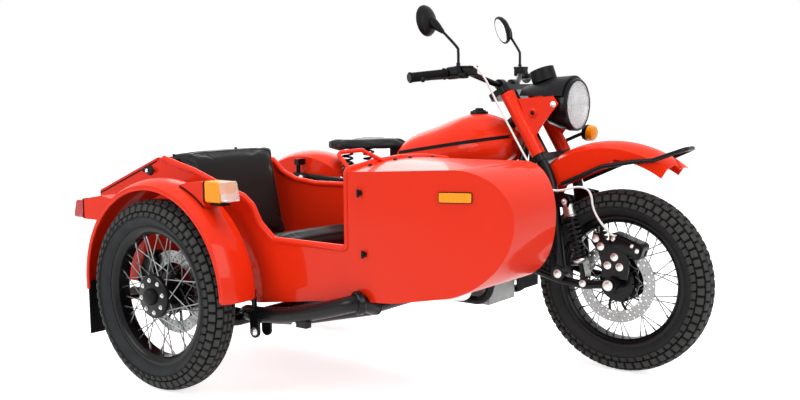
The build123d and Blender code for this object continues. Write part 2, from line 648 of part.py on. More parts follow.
# Hand rail at the corner of the deck.
nose_right_y = tub_y - nose_half_width
rail_path = [(nose_back_x - 8.0, nose_right_y + 23.0, 782.0),
             (nose_back_x - 81.0, nose_right_y + 44.0, 832.0),
             (nose_back_x - 35.0, nose_right_y + 112.0, 838.0),
             (nose_back_x + 14.0, nose_right_y + 178.0, 796.0)]
grab_rail = tube(rail_path, 6.5, 16.0)

# Tub body behind the nose: floor, two sides and the trunk box.
right_y = tub_y - body_half_width
left_y = tub_y + body_half_width
body_front_x = nose_back_x - seat_gap
side_outline = [(tub_rear_x + 60.0, tub_floor_z), (floor_knee_x, tub_floor_z),
                (body_front_x, floor_front_z),
                (body_front_x, 768.0), (bulkhead_x + 60.0, 800.0), (bulkhead_x, 800.0),
                (bulkhead_x, trunk_top_z),
                (tub_rear_x, trunk_rear_z), (tub_rear_x, 430.0)]
rim_front_x = nose_back_x - bead_tube - seat_gap
right_path = [(bulkhead_x + 22.0, 788.0), (330.0, 748.0), (480.0, 700.0), (572.0, 674.0), (612.0, 646.0),
              (648.0, 588.0), (712.0, sill_z), (rim_front_x, sill_z), (rim_front_x, 782.0)]
left_path = [(bulkhead_x + 22.0, 752.0), (221.0, 702.0), (290.0, 676.0), (400.0, 664.0), (560.0, 667.0),
             (800.0, 690.0), (rim_front_x, 742.0), (rim_front_x, 782.0)]
half_cross = body_half_width / 2.0
rim_cross = [(rim_front_x, tub_y - half_cross, 799.0), (rim_front_x, tub_y, 805.0),
             (rim_front_x, tub_y + half_cross, 799.0)]


def rim_path(points, y):
    return [(x, y, z) for x, z in points]


rim_line = rim_path(right_path, right_y + wall / 2) + rim_cross
rim_line += list(reversed(rim_path(left_path, left_y - wall / 2)))
bead = tube(rim_line, bead_tube, rim_bend)
nodes["cockpit_rim"] = bead
bead_room = tube(rim_line, bead_tube + seat_gap, rim_bend)
nodes["grab_rail"] = (grab_rail - nose_solid(0.0) - bead_room).solids().sort_by(SortBy.VOLUME)[-1]
right_side = plate(side_outline, right_y, right_y + wall)
above = [(rim_front_x, 900.0), (bulkhead_x - 20.0, 900.0), (bulkhead_x - 20.0, 795.0)]
right_side -= plate(right_path + above, right_y - 5.0, right_y + wall + 5.0)
right_side -= bead_room
left_side = plate(side_outline, left_y - wall, left_y)
left_side -= plate(left_path + above, left_y - wall - 5.0, left_y + 5.0)
left_side -= bead_room
nodes["tub_side_right"] = right_side.solids().sort_by(SortBy.VOLUME)[-1]
nodes["tub_side_left"] = left_side.solids().sort_by(SortBy.VOLUME)[-1]
inner_right = right_y + wall + 0.2
inner_left = left_y - wall - 0.2
floor_points = [(tub_rear_x + 64.0, tub_floor_z), (floor_knee_x, tub_floor_z),
                (body_front_x, floor_front_z)]
floor_points += [(x, z + wall) for x, z in reversed(floor_points)]
nodes["tub_floor"] = plate(floor_points, inner_right, inner_left)
floor_top_z = tub_floor_z + wall + 0.2
trunk = block(bulkhead_x - 12.0, bulkhead_x - 2.0, inner_right, inner_left, floor_top_z, trunk_top_z - 12.0)
wall_outline = [(0, 430), (59, floor_top_z + 0.3), (72, floor_top_z + 0.3), (wall, 434),
                (wall, trunk_rear_z - 14),
                (0, trunk_rear_z - 18)]
rear_wall = plate(ahead_of(tub_rear_x, wall_outline), inner_right, inner_left)
trunk_floor = block(tub_rear_x + wall, bulkhead_x - 12.0, inner_right, inner_left, 440.0, 450.0)
nodes["tub_trunk"] = trunk + rear_wall + trunk_floor

# Trunk lid hinged along its left edge.
lid_slope = (trunk_top_z - trunk_rear_z) / (bulkhead_x - tub_rear_x)
lid_angle = math.atan(lid_slope)
lid_gap = 0.8
lid_thickness = 12.0
lid_front_x = bulkhead_x - 10.0
lid_front_z = trunk_top_z - lid_slope * 10.0 + lid_gap
lid_rear_z = trunk_rear_z + lid_gap
lid_points = [(lid_front_x, lid_front_z), (tub_rear_x, lid_rear_z),
              (tub_rear_x, lid_rear_z + lid_thickness),
              (lid_front_x, lid_front_z + lid_thickness)]
lid = plate(lid_points, right_y, left_y)
hinge_y = left_y + 9.0


def hinge_point(along):
    x = lid_front_x - along * math.cos(lid_angle)
    z = lid_front_z + lid_thickness / 2 - along * math.sin(lid_angle)
    return (x, hinge_y, z)


knuckles_fixed = None
for start in (40.0, 300.0):
    lid += rod(hinge_point(start), hinge_point(start + 30.0), 6.0)
    lid += block(hinge_point(start + 22.0)[0], hinge_point(start + 8.0)[0], left_y - 6.0, hinge_y,
                 hinge_point(start + 15.0)[2] - 3.0, hinge_point(start + 15.0)[2] + 3.0)
    lid += rod(hinge_point(start - 30.0), hinge_point(start + 30.0), 3.0)
    barrel = rod(hinge_point(start - 30.0), hinge_point(start - 0.5), 6.0)
    low = hinge_point(start - 15.0)
    barrel += block(low[0] - 8.0, low[0] + 8.0, left_y, hinge_y + 3.0, low[2] - 34.0, low[2] - 4.0)
    barrel -= rod(hinge_point(start - 40.0), hinge_point(start + 10.0), 3.2)
    knuckles_fixed = barrel if knuckles_fixed is None else knuckles_fixed + barrel
nodes["trunk_lid"] = lid
nodes["tub_side_left"] = nodes["tub_side_left"] + knuckles_fixed

# Seat back and cushion.
back_points = [(205.0, 440.0), (303.7, 452.0), (254.0, 640.0), (222.0, 790.0), (194.0, 808.0),
               (150.0, 806.0),
               (bulkhead_x - 1.7, 786.0), (bulkhead_x - 1.7, 765.0)]
seat_back = plate(back_points, right_y + wall + 14.0, left_y - wall - 14.0)
nodes["seat_back"] = seat_back
cushion = block(304.0, 690.0, right_y + wall + 8.0, left_y - wall - 8.0, 440.0, 545.0)
cushion = fillet(cushion.faces().sort_by(Axis.Z)[-1].edges(), 30.0)
cushion += block(310.0, floor_knee_x - 4.0, right_y + wall + 20.0, left_y - wall - 20.0, floor_top_z, 440.0)
nodes["seat_cushion"] = cushion

# Sidecar fender with rolled outer lip, mud flap and lamps.
lip = side_fender_radius - 34.0
inner_lip = side_fender_radius - 54.0
fy0 = side_fender_outer_y
fy1 = side_fender_inner_y
fm = (fy0 + fy1) / 2
sp = Polyline((fy0, lip), (fy0, side_fender_radius - 20.0))
sp += ThreePointArc((fy0, side_fender_radius - 20.0), (fm, side_fender_radius),
                    (fy1, side_fender_radius - 20.0))
sp += Polyline((fy1, side_fender_radius - 20.0), (fy1, inner_lip), (fy1 - sheet, inner_lip),
               (fy1 - sheet, side_fender_radius - 22.0))
sp += ThreePointArc((fy1 - sheet, side_fender_radius - 22.0), (fm, side_fender_radius - sheet),
                    (fy0 + sheet, side_fender_radius - 22.0))
sp += Polyline((fy0 + sheet, side_fender_radius - 22.0), (fy0 + sheet, lip), (fy0, lip))
nodes["sidecar_fender"] = arch(make_face(sp), sidecar_lead, side_fender_z, -95.3, 90.0)
flap_x = sidecar_lead - side_fender_radius
nodes["mud_flap"] = block(flap_x + 22.6, flap_x + 27.6, fy0 + sheet + 2.0, fy1 - sheet - 2.0, 150.0,
                          side_fender_z - 5.0)

# Lamp housings on the fender and their lenses, as side outlines from the fender's centre.
ring_r = side_fender_radius + seat_gap
ring = spin([(fy0 - 10.0, 0.0), (fy0 - 10.0, ring_r), (fy1 + 10.0, ring_r), (fy1 + 10.0, 0.0)],
            sidecar_lead, side_fender_z)
lamp_rise = side_fender_radius - 384.0
lamp_outlines = {
    "marker": [(110, 290), (110, 366), (155, 378), (241, 386), (241, 290)],
    "marker_lens": [(241.3, 318), (241.3, 385), (334, 390), (342, 382), (342, 342), (322, 326)],
    "tail": [(-422, 216), (-422, 290), (-315, 307), (-255, 300), (-255, 216)],
    "tail_lens": [(-478, 222), (-478, 283), (-422.3, 289.5), (-422.3, 217)],
}
lamp_solids = {}
for name, outline in lamp_outlines.items():
    raised = [(sidecar_lead + x, side_fender_z + lamp_rise + z) for x, z in outline]
    lamp_solids[name] = plate(raised, lamp_outer_y, lamp_inner_y) - ring
nodes["fender_lamps"] = Compound(children=[lamp_solids["marker"], lamp_solids["tail"]])
nodes["marker_lens"] = lamp_solids["marker_lens"]
nodes["side_tail_lens"] = lamp_solids["tail_lens"]

# Sidecar frame: two rails, cross tubes, wheel arm, struts to the bike.
rail_y = [right_y + 60.0, left_y - 65.0]
arm_y = 104.0 - track
hub_y = arm_y + 10.0
hub_end_y = arm_y - 34.0
brace_y = side_fender_inner_y + 32.0
sidecar_frame = None
for y in rail_y:
    rail = tube([(-120.0, y, 252.0), (500.0, y, 243.0), (770.0, y, 272.0), (1100.0, y, 352.0)], 24.0, 200.0)
    sidecar_frame = rail if sidecar_frame is None else sidecar_frame + rail
for x, z in ((-80.0, 251.0), (540.0, 246.0), (1060.0, 342.0)):
    sidecar_frame += rod((x, rail_y[0], z), (x, rail_y[1], z), 22.0)
sidecar_frame += tube([(540.0, rail_y[0], 246.0), (540.0, arm_y, 246.0), (460.0, arm_y, 276.0),
                       (sidecar_lead, arm_y, tyre_radius)], 20.0, 40.0)
for x, z in ((40.0, 250.0), (430.0, 245.0)):
    for y in rail_y:
        sidecar_frame += rod((x, y, z), (x, y, tub_floor_z - 0.2), 17.0)
brace_front = side_fender_radius - 31.0
brace_back = side_fender_radius - 25.0
brace_end_y = side_fender_inner_y + 0.2
sidecar_frame += tube([(640.0, rail_y[0], 258.0), (646.0, brace_y, 262.0),
                       (sidecar_lead + brace_front, brace_end_y, side_fender_z + 22.0)], 9.0, 12.0)
sidecar_frame += tube([(-40.0, rail_y[0], 251.0), (-42.0, brace_y, 255.0),
                       (sidecar_lead - brace_back, brace_end_y, side_fender_z + 42.0)], 9.0, 12.0)
sidecar_frame += rod((sidecar_lead, hub_y, tyre_radius), (sidecar_lead, hub_end_y, tyre_radius), 34.0)
sidecar_frame += rod((sidecar_lead, hub_y, tyre_radius), (sidecar_lead, -track - 66.0, tyre_radius),
                     axle_radius)
side_caliper = Pos(sidecar_lead, -track, tyre_radius) * Rot(0, 0, 180.0) * far_caliper.rotate(Axis.Y, 62.0)
side_caliper -= rod((sidecar_lead, hub_y + 6.0, tyre_radius), (sidecar_lead, hub_end_y - 4.0, tyre_radius),
                    34.0 + seat_gap)
nodes["rear_calipers"] = Compound(children=[rear_caliper - nodes["rear_swingarm"], side_caliper])
front_strut = Line((1072.0, rail_y[1], 345.0), (head_x + 16.0, -126.0, 345.0))
rear_strut = Line((340.0, rail_y[1], 246.0), (396.0, -136.0, 352.0))
high_front = Line(tuple(front_strut @ 0.294), (head_x + 66.0, -56.0, 672.0))
high_rear = Line(tuple(rear_strut @ 0.275), (264.0, -118.0, 610.0))
for strut in (front_strut, rear_strut, high_front, high_rear):
    sidecar_frame += rod(tuple(strut @ 0), tuple(strut @ 1), 16.0)
sidecar_frame = sidecar_frame - frame - case - nodes["sidecar_fender"]
nodes["sidecar_frame"] = sidecar_frame.solids().sort_by(SortBy.VOLUME)[-1]

# Centre stand folded up under the engine.
stand = tube([(stand_x, 100.0, stand_z), (stand_x - 60.0, 104.0, 172.0), (stand_x - 205.0, 128.0, 132.0)],
             11.0, 40.0)
foot = rod((stand_x - 205.0, 104.0, 132.0), (stand_x - 205.0, 152.0, 132.0), 13.0)
stand_pair = rod((stand_x, -152.0, stand_z), (stand_x, 152.0, stand_z),
                 stand_radius) + both_sides(stand + foot)
stand_pair += rod((stand_x - 90.0, -106.0, 166.0), (stand_x - 90.0, 106.0, 166.0), 9.0)
nodes["centre_stand"] = stand_pair

# Everything moves so that the origin is under the middle of the whole outline.
low_x = min(shape.bounding_box().min.X for shape in nodes.values())
high_x = max(shape.bounding_box().max.X for shape in nodes.values())
low_y = min(shape.bounding_box().min.Y for shape in nodes.values())
high_y = max(shape.bounding_box().max.Y for shape in nodes.values())
shift = Pos(-(low_x + high_x) / 2, -(low_y + high_y) / 2, 0)
print("shift", -(low_x + high_x) / 2, -(low_y + high_y) / 2)
for name, shape in nodes.items():
    export_step(shift * shape, "parts/" + name + ".step")
print(len(nodes), "nodes")
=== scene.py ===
import math
import bmesh
import bpy
import numpy as np
from mathutils import Matrix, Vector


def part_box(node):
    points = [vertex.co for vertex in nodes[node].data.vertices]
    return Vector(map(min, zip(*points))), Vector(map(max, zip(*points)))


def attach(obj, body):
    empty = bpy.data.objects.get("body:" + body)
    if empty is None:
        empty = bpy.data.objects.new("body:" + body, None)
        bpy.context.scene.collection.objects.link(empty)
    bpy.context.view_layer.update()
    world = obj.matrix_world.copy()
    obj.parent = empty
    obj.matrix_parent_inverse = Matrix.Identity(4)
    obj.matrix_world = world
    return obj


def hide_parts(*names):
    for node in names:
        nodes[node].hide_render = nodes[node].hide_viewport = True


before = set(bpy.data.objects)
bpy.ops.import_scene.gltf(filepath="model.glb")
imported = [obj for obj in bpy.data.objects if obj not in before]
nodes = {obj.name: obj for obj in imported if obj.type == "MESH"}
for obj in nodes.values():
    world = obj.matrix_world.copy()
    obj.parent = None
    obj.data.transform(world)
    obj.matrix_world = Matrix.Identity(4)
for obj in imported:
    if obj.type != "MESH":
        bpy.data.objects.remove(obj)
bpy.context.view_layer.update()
print("frame loaded", len(nodes), "nodes")

# Places below are millimetres in the bike's own layout: X forward from the rear axle, Y to the left, Z up.
rearLow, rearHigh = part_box("rear_tyre")
layoutShift = np.array([(rearLow.x + rearHigh.x) / 2, (rearLow.y + rearHigh.y) / 2, 0.0])


def toFrame(points):
    return np.asarray(points, float) * 0.001 + layoutShift


def linked(name, data):
    thing = bpy.data.objects.new(name, data)
    bpy.context.scene.collection.objects.link(thing)
    return thing


# Node tools for materials.
def setSockets(node, **values):
    for key, value in values.items():
        node.inputs[key.replace("_", " ")].default_value = value


def addNode(tree, kind, **values):
    node = tree.nodes.new("ShaderNode" + kind)
    setSockets(node, **values)
    return node


def newMaterial(name):
    material = bpy.data.materials.new(name)
    material.use_nodes = True
    return material, material.node_tree, material.node_tree.nodes["Principled BSDF"]


def noiseGroup(name, detail):
    # Value noise on Object coordinates, spread between Low and High.
    group = bpy.data.node_groups.new(name, "ShaderNodeTree")
    for socket in ("Scale", "Low", "High"):
        group.interface.new_socket(socket, in_out="INPUT", socket_type="NodeSocketFloat")
    group.interface.new_socket("Value", in_out="OUTPUT", socket_type="NodeSocketFloat")
    give, take = group.nodes.new("NodeGroupInput"), group.nodes.new("NodeGroupOutput")
    coord = addNode(group, "TexCoord")
    noise = addNode(group, "TexNoise", Detail=detail)
    spread = addNode(group, "MapRange", From_Min=0.3, From_Max=0.7)
    group.links.new(coord.outputs["Object"], noise.inputs["Vector"])
    group.links.new(give.outputs["Scale"], noise.inputs["Scale"])
    group.links.new(noise.outputs["Fac"], spread.inputs["Value"])
    group.links.new(give.outputs["Low"], spread.inputs["To Min"])
    group.links.new(give.outputs["High"], spread.inputs["To Max"])
    group.links.new(spread.outputs["Result"], take.inputs["Value"])
    return group


softNoise = noiseGroup("softNoise", 2.0)
fineNoise = noiseGroup("fineNoise", 6.0)


def addNoise(tree, group, scale, low, high):
    node = tree.nodes.new("ShaderNodeGroup")
    node.node_tree = group
    setSockets(node, Scale=scale, Low=low, High=high)
    return node.outputs["Value"]


def addBump(tree, shader, height, strength, distance):
    bump = addNode(tree, "Bump", Strength=strength, Distance=distance)
    tree.links.new(height, bump.inputs["Height"])
    tree.links.new(bump.outputs["Normal"], shader.inputs["Normal"])


def roughSurface(name, colour, rough, scale, grain=None, **values):
    # Roughness drifts between the two rough values; grain is a bump's scale, strength and depth in metres.
    material, tree, shader = newMaterial(name)
    setSockets(shader, Base_Color=(*colour, 1.0), **values)
    tree.links.new(addNoise(tree, softNoise, scale, *rough), shader.inputs["Roughness"])
    if grain:
        addBump(tree, shader, addNoise(tree, fineNoise, grain[0], 0.0, 1.0), *grain[1:])
    return material


paint = roughSurface("redPaint", (0.75, 0.026, 0.005), (0.30, 0.38), 3.0, (900, 0.02, 0.0002),
                     Coat_Weight=0.28, Coat_Roughness=0.02, Specular_IOR_Level=0.04)
blackMetal = roughSurface("blackMetal", (0.004, 0.004, 0.005), (0.22, 0.34), 14, (500, 0.05, 0.0003),
                          Coat_Weight=0.10, Coat_Roughness=0.06, Specular_IOR_Level=0.14)
blackPlastic = roughSurface("blackPlastic", (0.006, 0.006, 0.007), (0.36, 0.48), 10,
                            (1400, 0.12, 0.0003), Specular_IOR_Level=0.13)
rubber = roughSurface("rubber", (0.004, 0.004, 0.004), (0.5, 0.68), 20, (600, 0.15, 0.0005),
                      Specular_IOR_Level=0.10)
whiteHose = roughSurface("whiteHose", (0.82, 0.82, 0.80), (0.35, 0.45), 20)
alloy = roughSurface("castAlloy", (0.30, 0.30, 0.295), (0.42, 0.60), 18, (420, 0.35, 0.0005),
                     Metallic=1.0)
zinc = roughSurface("zincPlate", (0.78, 0.78, 0.76), (0.30, 0.42), 60, Metallic=1.0)
spokeSteel = roughSurface("spokeSteel", (0.26, 0.26, 0.26), (0.26, 0.38), 30, Metallic=1.0)
steel = roughSurface("steel", (0.62, 0.62, 0.61), (0.24, 0.36), 30, Metallic=1.0)
discSteel = roughSurface("discSteel", (0.27, 0.28, 0.28), (0.22, 0.34), 30, Metallic=1.0)
chrome = roughSurface("chrome", (0.82, 0.82, 0.82), (0.05, 0.10), 12, Metallic=1.0)
mirrorGlass = roughSurface("mirrorGlass", (0.88, 0.90, 0.92), (0.01, 0.03), 12, Metallic=1.0)


def treadSurface():
    # The piece's own value per point picks the colour: 0 in a groove, 0.5 on the sidewall, 1 on a block top.
    # The grooves are near black as painted shade in the recesses; the block tops are lighter than the
    # sidewall.
    material, tree, shader = newMaterial("tyreRubber")
    setSockets(shader, Specular_IOR_Level=0.22)
    treadShade = addNode(tree, "Attribute")
    treadShade.attribute_name = "treadShade"
    shade = addNode(tree, "ValToRGB")
    stops = shade.color_ramp.elements
    # Groove colour, near black: painted shade in the recesses.
    stops[0].color = (0.002, 0.002, 0.002, 1.0)
    stops[1].color = (0.042, 0.042, 0.040, 1.0)
    stops.new(0.5).color = (0.018, 0.020, 0.021, 1.0)
    tree.links.new(treadShade.outputs["Fac"], shade.inputs["Fac"])
    tree.links.new(shade.outputs["Color"], shader.inputs["Base Color"])
    tree.links.new(addNoise(tree, softNoise, 20, 0.58, 0.76), shader.inputs["Roughness"])
    addBump(tree, shader, addNoise(tree, fineNoise, 700, 0.0, 1.0), 0.2, 0.0006)
    return material


tyreRubber = treadSurface()


def vinylSurface():
    # Leather grain: cell edges pressed into a dark vinyl.
    material, tree, shader = newMaterial("blackVinyl")
    setSockets(shader, Base_Color=(0.007, 0.007, 0.007, 1.0), Coat_Weight=0.05, Coat_Roughness=0.3,
               Specular_IOR_Level=0.22)
    coord = addNode(tree, "TexCoord")
    cells = addNode(tree, "TexVoronoi", Scale=420)
    cells.feature = "DISTANCE_TO_EDGE"
    tree.links.new(coord.outputs["Object"], cells.inputs["Vector"])
    spread = addNode(tree, "MapRange", From_Max=0.12)
    tree.links.new(cells.outputs["Distance"], spread.inputs["Value"])
    addBump(tree, shader, spread.outputs["Result"], 0.25, 0.0004)
    tree.links.new(addNoise(tree, softNoise, 7.0, 0.34, 0.50), shader.inputs["Roughness"])
    return material


vinyl = vinylSurface()


def lensSurface(name, colour, ribScale, transmission, **values):
    # Coloured lens with straight prism ribs across it.
    material, tree, shader = newMaterial(name)
    setSockets(shader, Base_Color=(*colour, 1.0), Roughness=0.08, Coat_Weight=0.2, Coat_Roughness=0.03,
               Transmission_Weight=transmission, IOR=1.49)
    setSockets(shader, **values)
    coord = addNode(tree, "TexCoord")
    ribs = addNode(tree, "TexWave", Scale=ribScale)
    ribs.bands_direction = "Y"
    tree.links.new(coord.outputs["Object"], ribs.inputs["Vector"])
    addBump(tree, shader, ribs.outputs["Fac"], 0.35, 0.0015)
    return material


amberLens = lensSurface("amberLens", (1.0, 0.33, 0.004), 60, 0.03, Coat_Weight=0.06,
                        Specular_IOR_Level=0.25)
redLens = lensSurface("redLens", (0.62, 0.01, 0.01), 60, 0.35)
clearLens = lensSurface("clearLens", (0.96, 0.97, 0.98), 45, 0.75)


# Mesh tools: whole-array surfaces.
def gridFaces(rows, cols, wrapRows=False, wrapCols=False):
    i, j = np.meshgrid(np.arange(rows if wrapRows else rows - 1),
                       np.arange(cols if wrapCols else cols - 1), indexing="ij")
    i, j = i.ravel(), j.ravel()
    k, m = (i + 1) % rows, (j + 1) % cols
    return np.stack([i * cols + j, k * cols + j, k * cols + m, i * cols + m], 1)


def joined(parts):
    # Stacks (points, faces) pairs into one pair.
    points, faces, start = [], [], 0
    for p, f in parts:
        p = np.asarray(p, float).reshape(-1, 3)
        points.append(p)
        faces.append(np.asarray(f) + start)
        start += len(p)
    return np.concatenate(points), np.concatenate(faces)


def revolved(profile, centre, axis=(0, 1, 0), sides=48):
    # Point = centre + axis * along + radius * (u cos t + v sin t) for each (along, radius) of the profile.
    profile = np.asarray(profile, float)
    axis = np.asarray(axis, float) / np.linalg.norm(axis)
    u = np.cross(axis, (0, 0, 1) if abs(axis[2]) < 0.9 else (1, 0, 0))
    u /= np.linalg.norm(u)
    v = np.cross(axis, u)
    t = np.linspace(0, 2 * np.pi, sides, endpoint=False)
    ring = np.cos(t)[:, None] * u + np.sin(t)[:, None] * v
    points = np.asarray(centre, float) + profile[:, None, :1] * axis + profile[:, None, 1:] * ring[None]
    return points, gridFaces(len(profile), sides, wrapCols=True)


def capped(rings):
    # Closes a run of rings with a point in the middle of the first and of the last.
    ends = [np.repeat(rings[k].mean(0)[None, None], rings.shape[1], 1) for k in (0, -1)]
    rings = np.concatenate([ends[0], rings, ends[1]])
    return rings, gridFaces(*rings.shape[:2], wrapCols=True)


def swept(path, radius, sides=10, closed=False, flat=1.0):
    # A ring carried along the path; each ring's frame is the last one turned by the path's own bend.
    path = np.asarray(path, float)
    count = len(path)
    ahead = np.roll(path, -1, 0) - np.roll(path, 1, 0) if closed else np.gradient(path, axis=0)
    ahead /= np.linalg.norm(ahead, axis=1)[:, None]
    u = np.zeros((count, 3))
    last = np.array([0.0, 0.0, 1.0]) if abs(ahead[0, 2]) < 0.8 else np.array([0.0, 1.0, 0.0])
    for k in range(count):
        last = last - ahead[k] * (last @ ahead[k])
        last = last / np.linalg.norm(last)
        u[k] = last
    v = np.cross(ahead, u)
    t = np.linspace(0, 2 * np.pi, sides, endpoint=False)
    width = np.broadcast_to(np.asarray(radius, float), (count,))[:, None, None]
    ring = np.cos(t)[None, :, None] * u[:, None] * flat + np.sin(t)[None, :, None] * v[:, None]
    points = path[:, None] + width * ring
    return (points, gridFaces(count, sides, True, True)) if closed else capped(points)


def smoothPath(points, steps):
    # Cubic through the given points, steps samples per span.
    p = np.asarray(points, float)
    padded = np.concatenate([2 * p[:1] - p[1:2], p, 2 * p[-1:] - p[-2:-1]])
    t = np.linspace(0, 1, steps, endpoint=False)[:, None]
    spans = []
    for k in range(len(p) - 1):
        a, b, c, d = padded[k:k + 4]
        spans.append(0.5 * (2 * b + (c - a) * t + (2 * a - 5 * b + 4 * c - d) * t ** 2
                            + (3 * b - 3 * c + d - a) * t ** 3))
    return np.concatenate(spans + [p[-1:]])


def addPiece(name, surface, material, body, replaces=(), angle=38):
    # A list of surfaces becomes one piece.
    points, faces = joined(surface) if isinstance(surface, list) else surface
    mesh = bpy.data.meshes.new(name)
    mesh.from_pydata(toFrame(np.asarray(points).reshape(-1, 3)).tolist(), [], np.asarray(faces).tolist())
    work = bmesh.new()
    work.from_mesh(mesh)
    bmesh.ops.remove_doubles(work, verts=work.verts, dist=2e-6)
    bmesh.ops.dissolve_degenerate(work, edges=work.edges, dist=1e-6)
    bmesh.ops.recalc_face_normals(work, faces=work.faces)
    work.to_mesh(mesh)
    work.free()
    mesh.polygons.foreach_set("use_smooth", np.ones(len(mesh.polygons), bool))
    mesh.set_sharp_from_angle(angle=math.radians(angle))
    piece = linked(name, mesh)
    mesh.materials.append(material)
    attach(piece, body)
    if replaces:
        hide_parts(*replaces)
    return piece


# Finish of each CAD node that stays in view.
finishes = {
    paint: ["fork_shrouds", "front_fender", "fuel_tank", "rear_fender", "tub_nose", "cockpit_rim",
            "tub_side_right", "tub_side_left", "tub_floor", "tub_trunk", "sidecar_fender", "trunk_lid",
            "fender_lamps", "grab_rail"],
    blackMetal: ["fork", "fender_stay", "handlebar", "frame", "rear_swingarm", "sidecar_frame",
                 "centre_stand", "front_caliper", "rear_calipers"],
    blackPlastic: ["cowl"],
    rubber: ["front_flap", "mud_flap"],
    alloy: ["engine_case", "cylinders", "cylinder_heads"],
    chrome: ["exhaust"],
    redLens: ["tail_lamp"],
}
for material, names in finishes.items():
    for name in names:
        nodes[name].data.materials.clear()
        nodes[name].data.materials.append(material)
print("materials set")

# Wheels: centre, side of the brake disc, body.
wheels = {
    "front": dict(centre=(1500, 0.0, 332), discSide=-1.0, body="front_wheel_set"),
    "rear": dict(centre=(0.0, 0.0, 332), discSide=1.0, body="rear_wheel_set"),
    "sidecar": dict(centre=(315, -1140, 332), discSide=1.0, body="sidecar_wheel_set"),
}
# Tyre: half outline as (across, radius), block edge slope in and out, where the crown fades out, inner bead,
# and block rows as middle across, half width, shift along the row in pitches.
tyreShape = dict(half=[(31.7, 236), (35.5, 244), (45, 254), (53, 266), (55.6, 281),
                       (53.5, 296), (49, 308), (42, 318.5), (32, 326.5), (18, 330.6),
                       (0.0, 331.8)],
                 points=120, blocks=58, columnsPerBlock=11, treadRadius=331, groove=7.5, depth=9.0,
                 slope=(0.8, 1.6), crown=(91, 96), bead=(31, 232.6),
                 rows=[(9.5, 7.2, 0.0), (31.5, 10.3, 0.5), (59, 12.5, 0.0), (83, 6.8, 0.5)])


def smoothStep(low, high, value):
    t = np.clip((value - low) / (high - low), 0, 1)
    return t * t * (3 - 2 * t)


def blockTop(reach, away):
    # 1 within the reach, down to 0 past the block's sloping edge.
    inner, outer = tyreShape["slope"]
    return 1 - smoothStep(reach - inner, reach + outer, away)


def tyreSurface(centre):
    # Half outline smoothed, mirrored and revolved; the crown is pressed in by the depth outside the blocks.
    half = smoothPath(tyreShape["half"], 12)
    outline = np.concatenate([half, half[-2::-1] * [-1, 1]])
    step = np.linalg.norm(np.diff(outline, axis=0), axis=1)
    along = np.concatenate([[0], np.cumsum(step)])
    even = np.linspace(0, along[-1], tyreShape["points"])
    outline = np.stack([np.interp(even, along, outline[:, k]) for k in (0, 1)], 1)
    across = np.abs(even - along[-1] / 2)
    blocks = tyreShape["blocks"]
    sides = blocks * tyreShape["columnsPerBlock"]
    t = np.linspace(0, 2 * np.pi, sides, endpoint=False)
    pitch = 2 * np.pi * tyreShape["treadRadius"] / blocks
    lift = np.zeros((len(outline), sides))
    for middle, halfWide, shift in tyreShape["rows"]:
        wide = blockTop(halfWide, np.abs(across - middle))
        place = (t * blocks / (2 * np.pi) + shift) % 1.0
        longways = blockTop((pitch - tyreShape["groove"]) / 2, np.abs(place - 0.5) * pitch)
        lift = np.maximum(lift, wide[:, None] * longways[None])
    crown = 1 - smoothStep(*tyreShape["crown"], across)[:, None]
    drop = tyreShape["depth"] * crown * (1 - lift)
    slope = np.gradient(outline, axis=0)
    slope /= np.linalg.norm(slope, axis=1)[:, None]
    inward = np.stack([slope[:, 1], -slope[:, 0]], 1)
    inward *= np.sign(1e-9 - inward[:, 1:])
    y = outline[:, :1] + inward[:, :1] * drop
    r = outline[:, 1:] + inward[:, 1:] * drop
    points = np.stack([r * np.sin(t), y, r * np.cos(t)], -1)
    beadY, beadR = tyreShape["bead"]
    bead = [np.stack([beadR * np.sin(t), np.full(sides, s * beadY), beadR * np.cos(t)], -1) for s in (-1, 1)]
    points = np.concatenate([points, np.stack(bead)])
    # Colour value per point: groove floors get 0, painted darker as painted shade in the recesses; sidewall
    # 0.5, block tops 1.
    treadShade = np.concatenate([0.5 * (1 - crown) + crown * lift, np.full((2, sides), 0.5)])
    return (points + np.asarray(centre), gridFaces(len(points), sides, True, True)), treadShade


rimOutline = [(0.0, 222), (13, 222.5), (17, 231.6), (31.6, 231.8), (31.8, 243), (36, 243.4),
              (37, 240), (36.2, 228), (32, 222), (22, 213.5), (0.0, 212.6)]
hubOutline = [(-52, 0.0), (-52, 58), (-36, 59), (-34.5, 76), (-28, 76), (-27, 46),
              (0.0, 43), (27, 46), (28, 76), (40, 76), (43, 74), (46, 68), (47, 0.0)]
capOutline = [(46.5, 0.0), (46.5, 30), (58, 29), (64, 24), (67, 14), (67.6, 0.0)]
# Spokes: degrees from one to the next and across to the hub, (radius, Y) at rim and hub.
spokes = dict(count=40, step=9.0, cross=48, rim=(215, 8.0), hub=(66, 31), stagger=4.0,
              wire=2.0, nipple=3.4, nippleEnds=(0.01, 0.105))
disc = dict(near=-58, far=-53, low=104, high=146, rows=3, cells=36, holes=(3.4, 2.6))
carrier = dict(ring=[(-57.5, 40), (-57.5, 66), (-52.4, 66), (-52.4, 40), (-57.5, 40)],
               arms=10, armRadii=(60, 84, 112), armY=-55.4, lean=0.10, boltRadius=110,
               bolt=[(-58.2, 0.0), (-58.2, 6.5), (-61, 6.0), (-61.5, 0.0)])


def spokeLine(index):
    # The two ends of one spoke, crossed between rim and hub.
    side = 1.0 if index % 2 == 0 else -1.0
    turn = 1.0 if (index // 2) % 2 == 0 else -1.0
    rimAngle = math.radians(spokes["step"] * index)
    hubAngle = rimAngle + turn * math.radians(spokes["cross"])
    (rimR, rimY), (hubR, hubY) = spokes["rim"], spokes["hub"]
    hubY += spokes["stagger"] * turn
    return (np.array([hubR * math.cos(hubAngle), side * hubY, hubR * math.sin(hubAngle)]),
            np.array([rimR * math.cos(rimAngle), side * rimY, rimR * math.sin(rimAngle)]))


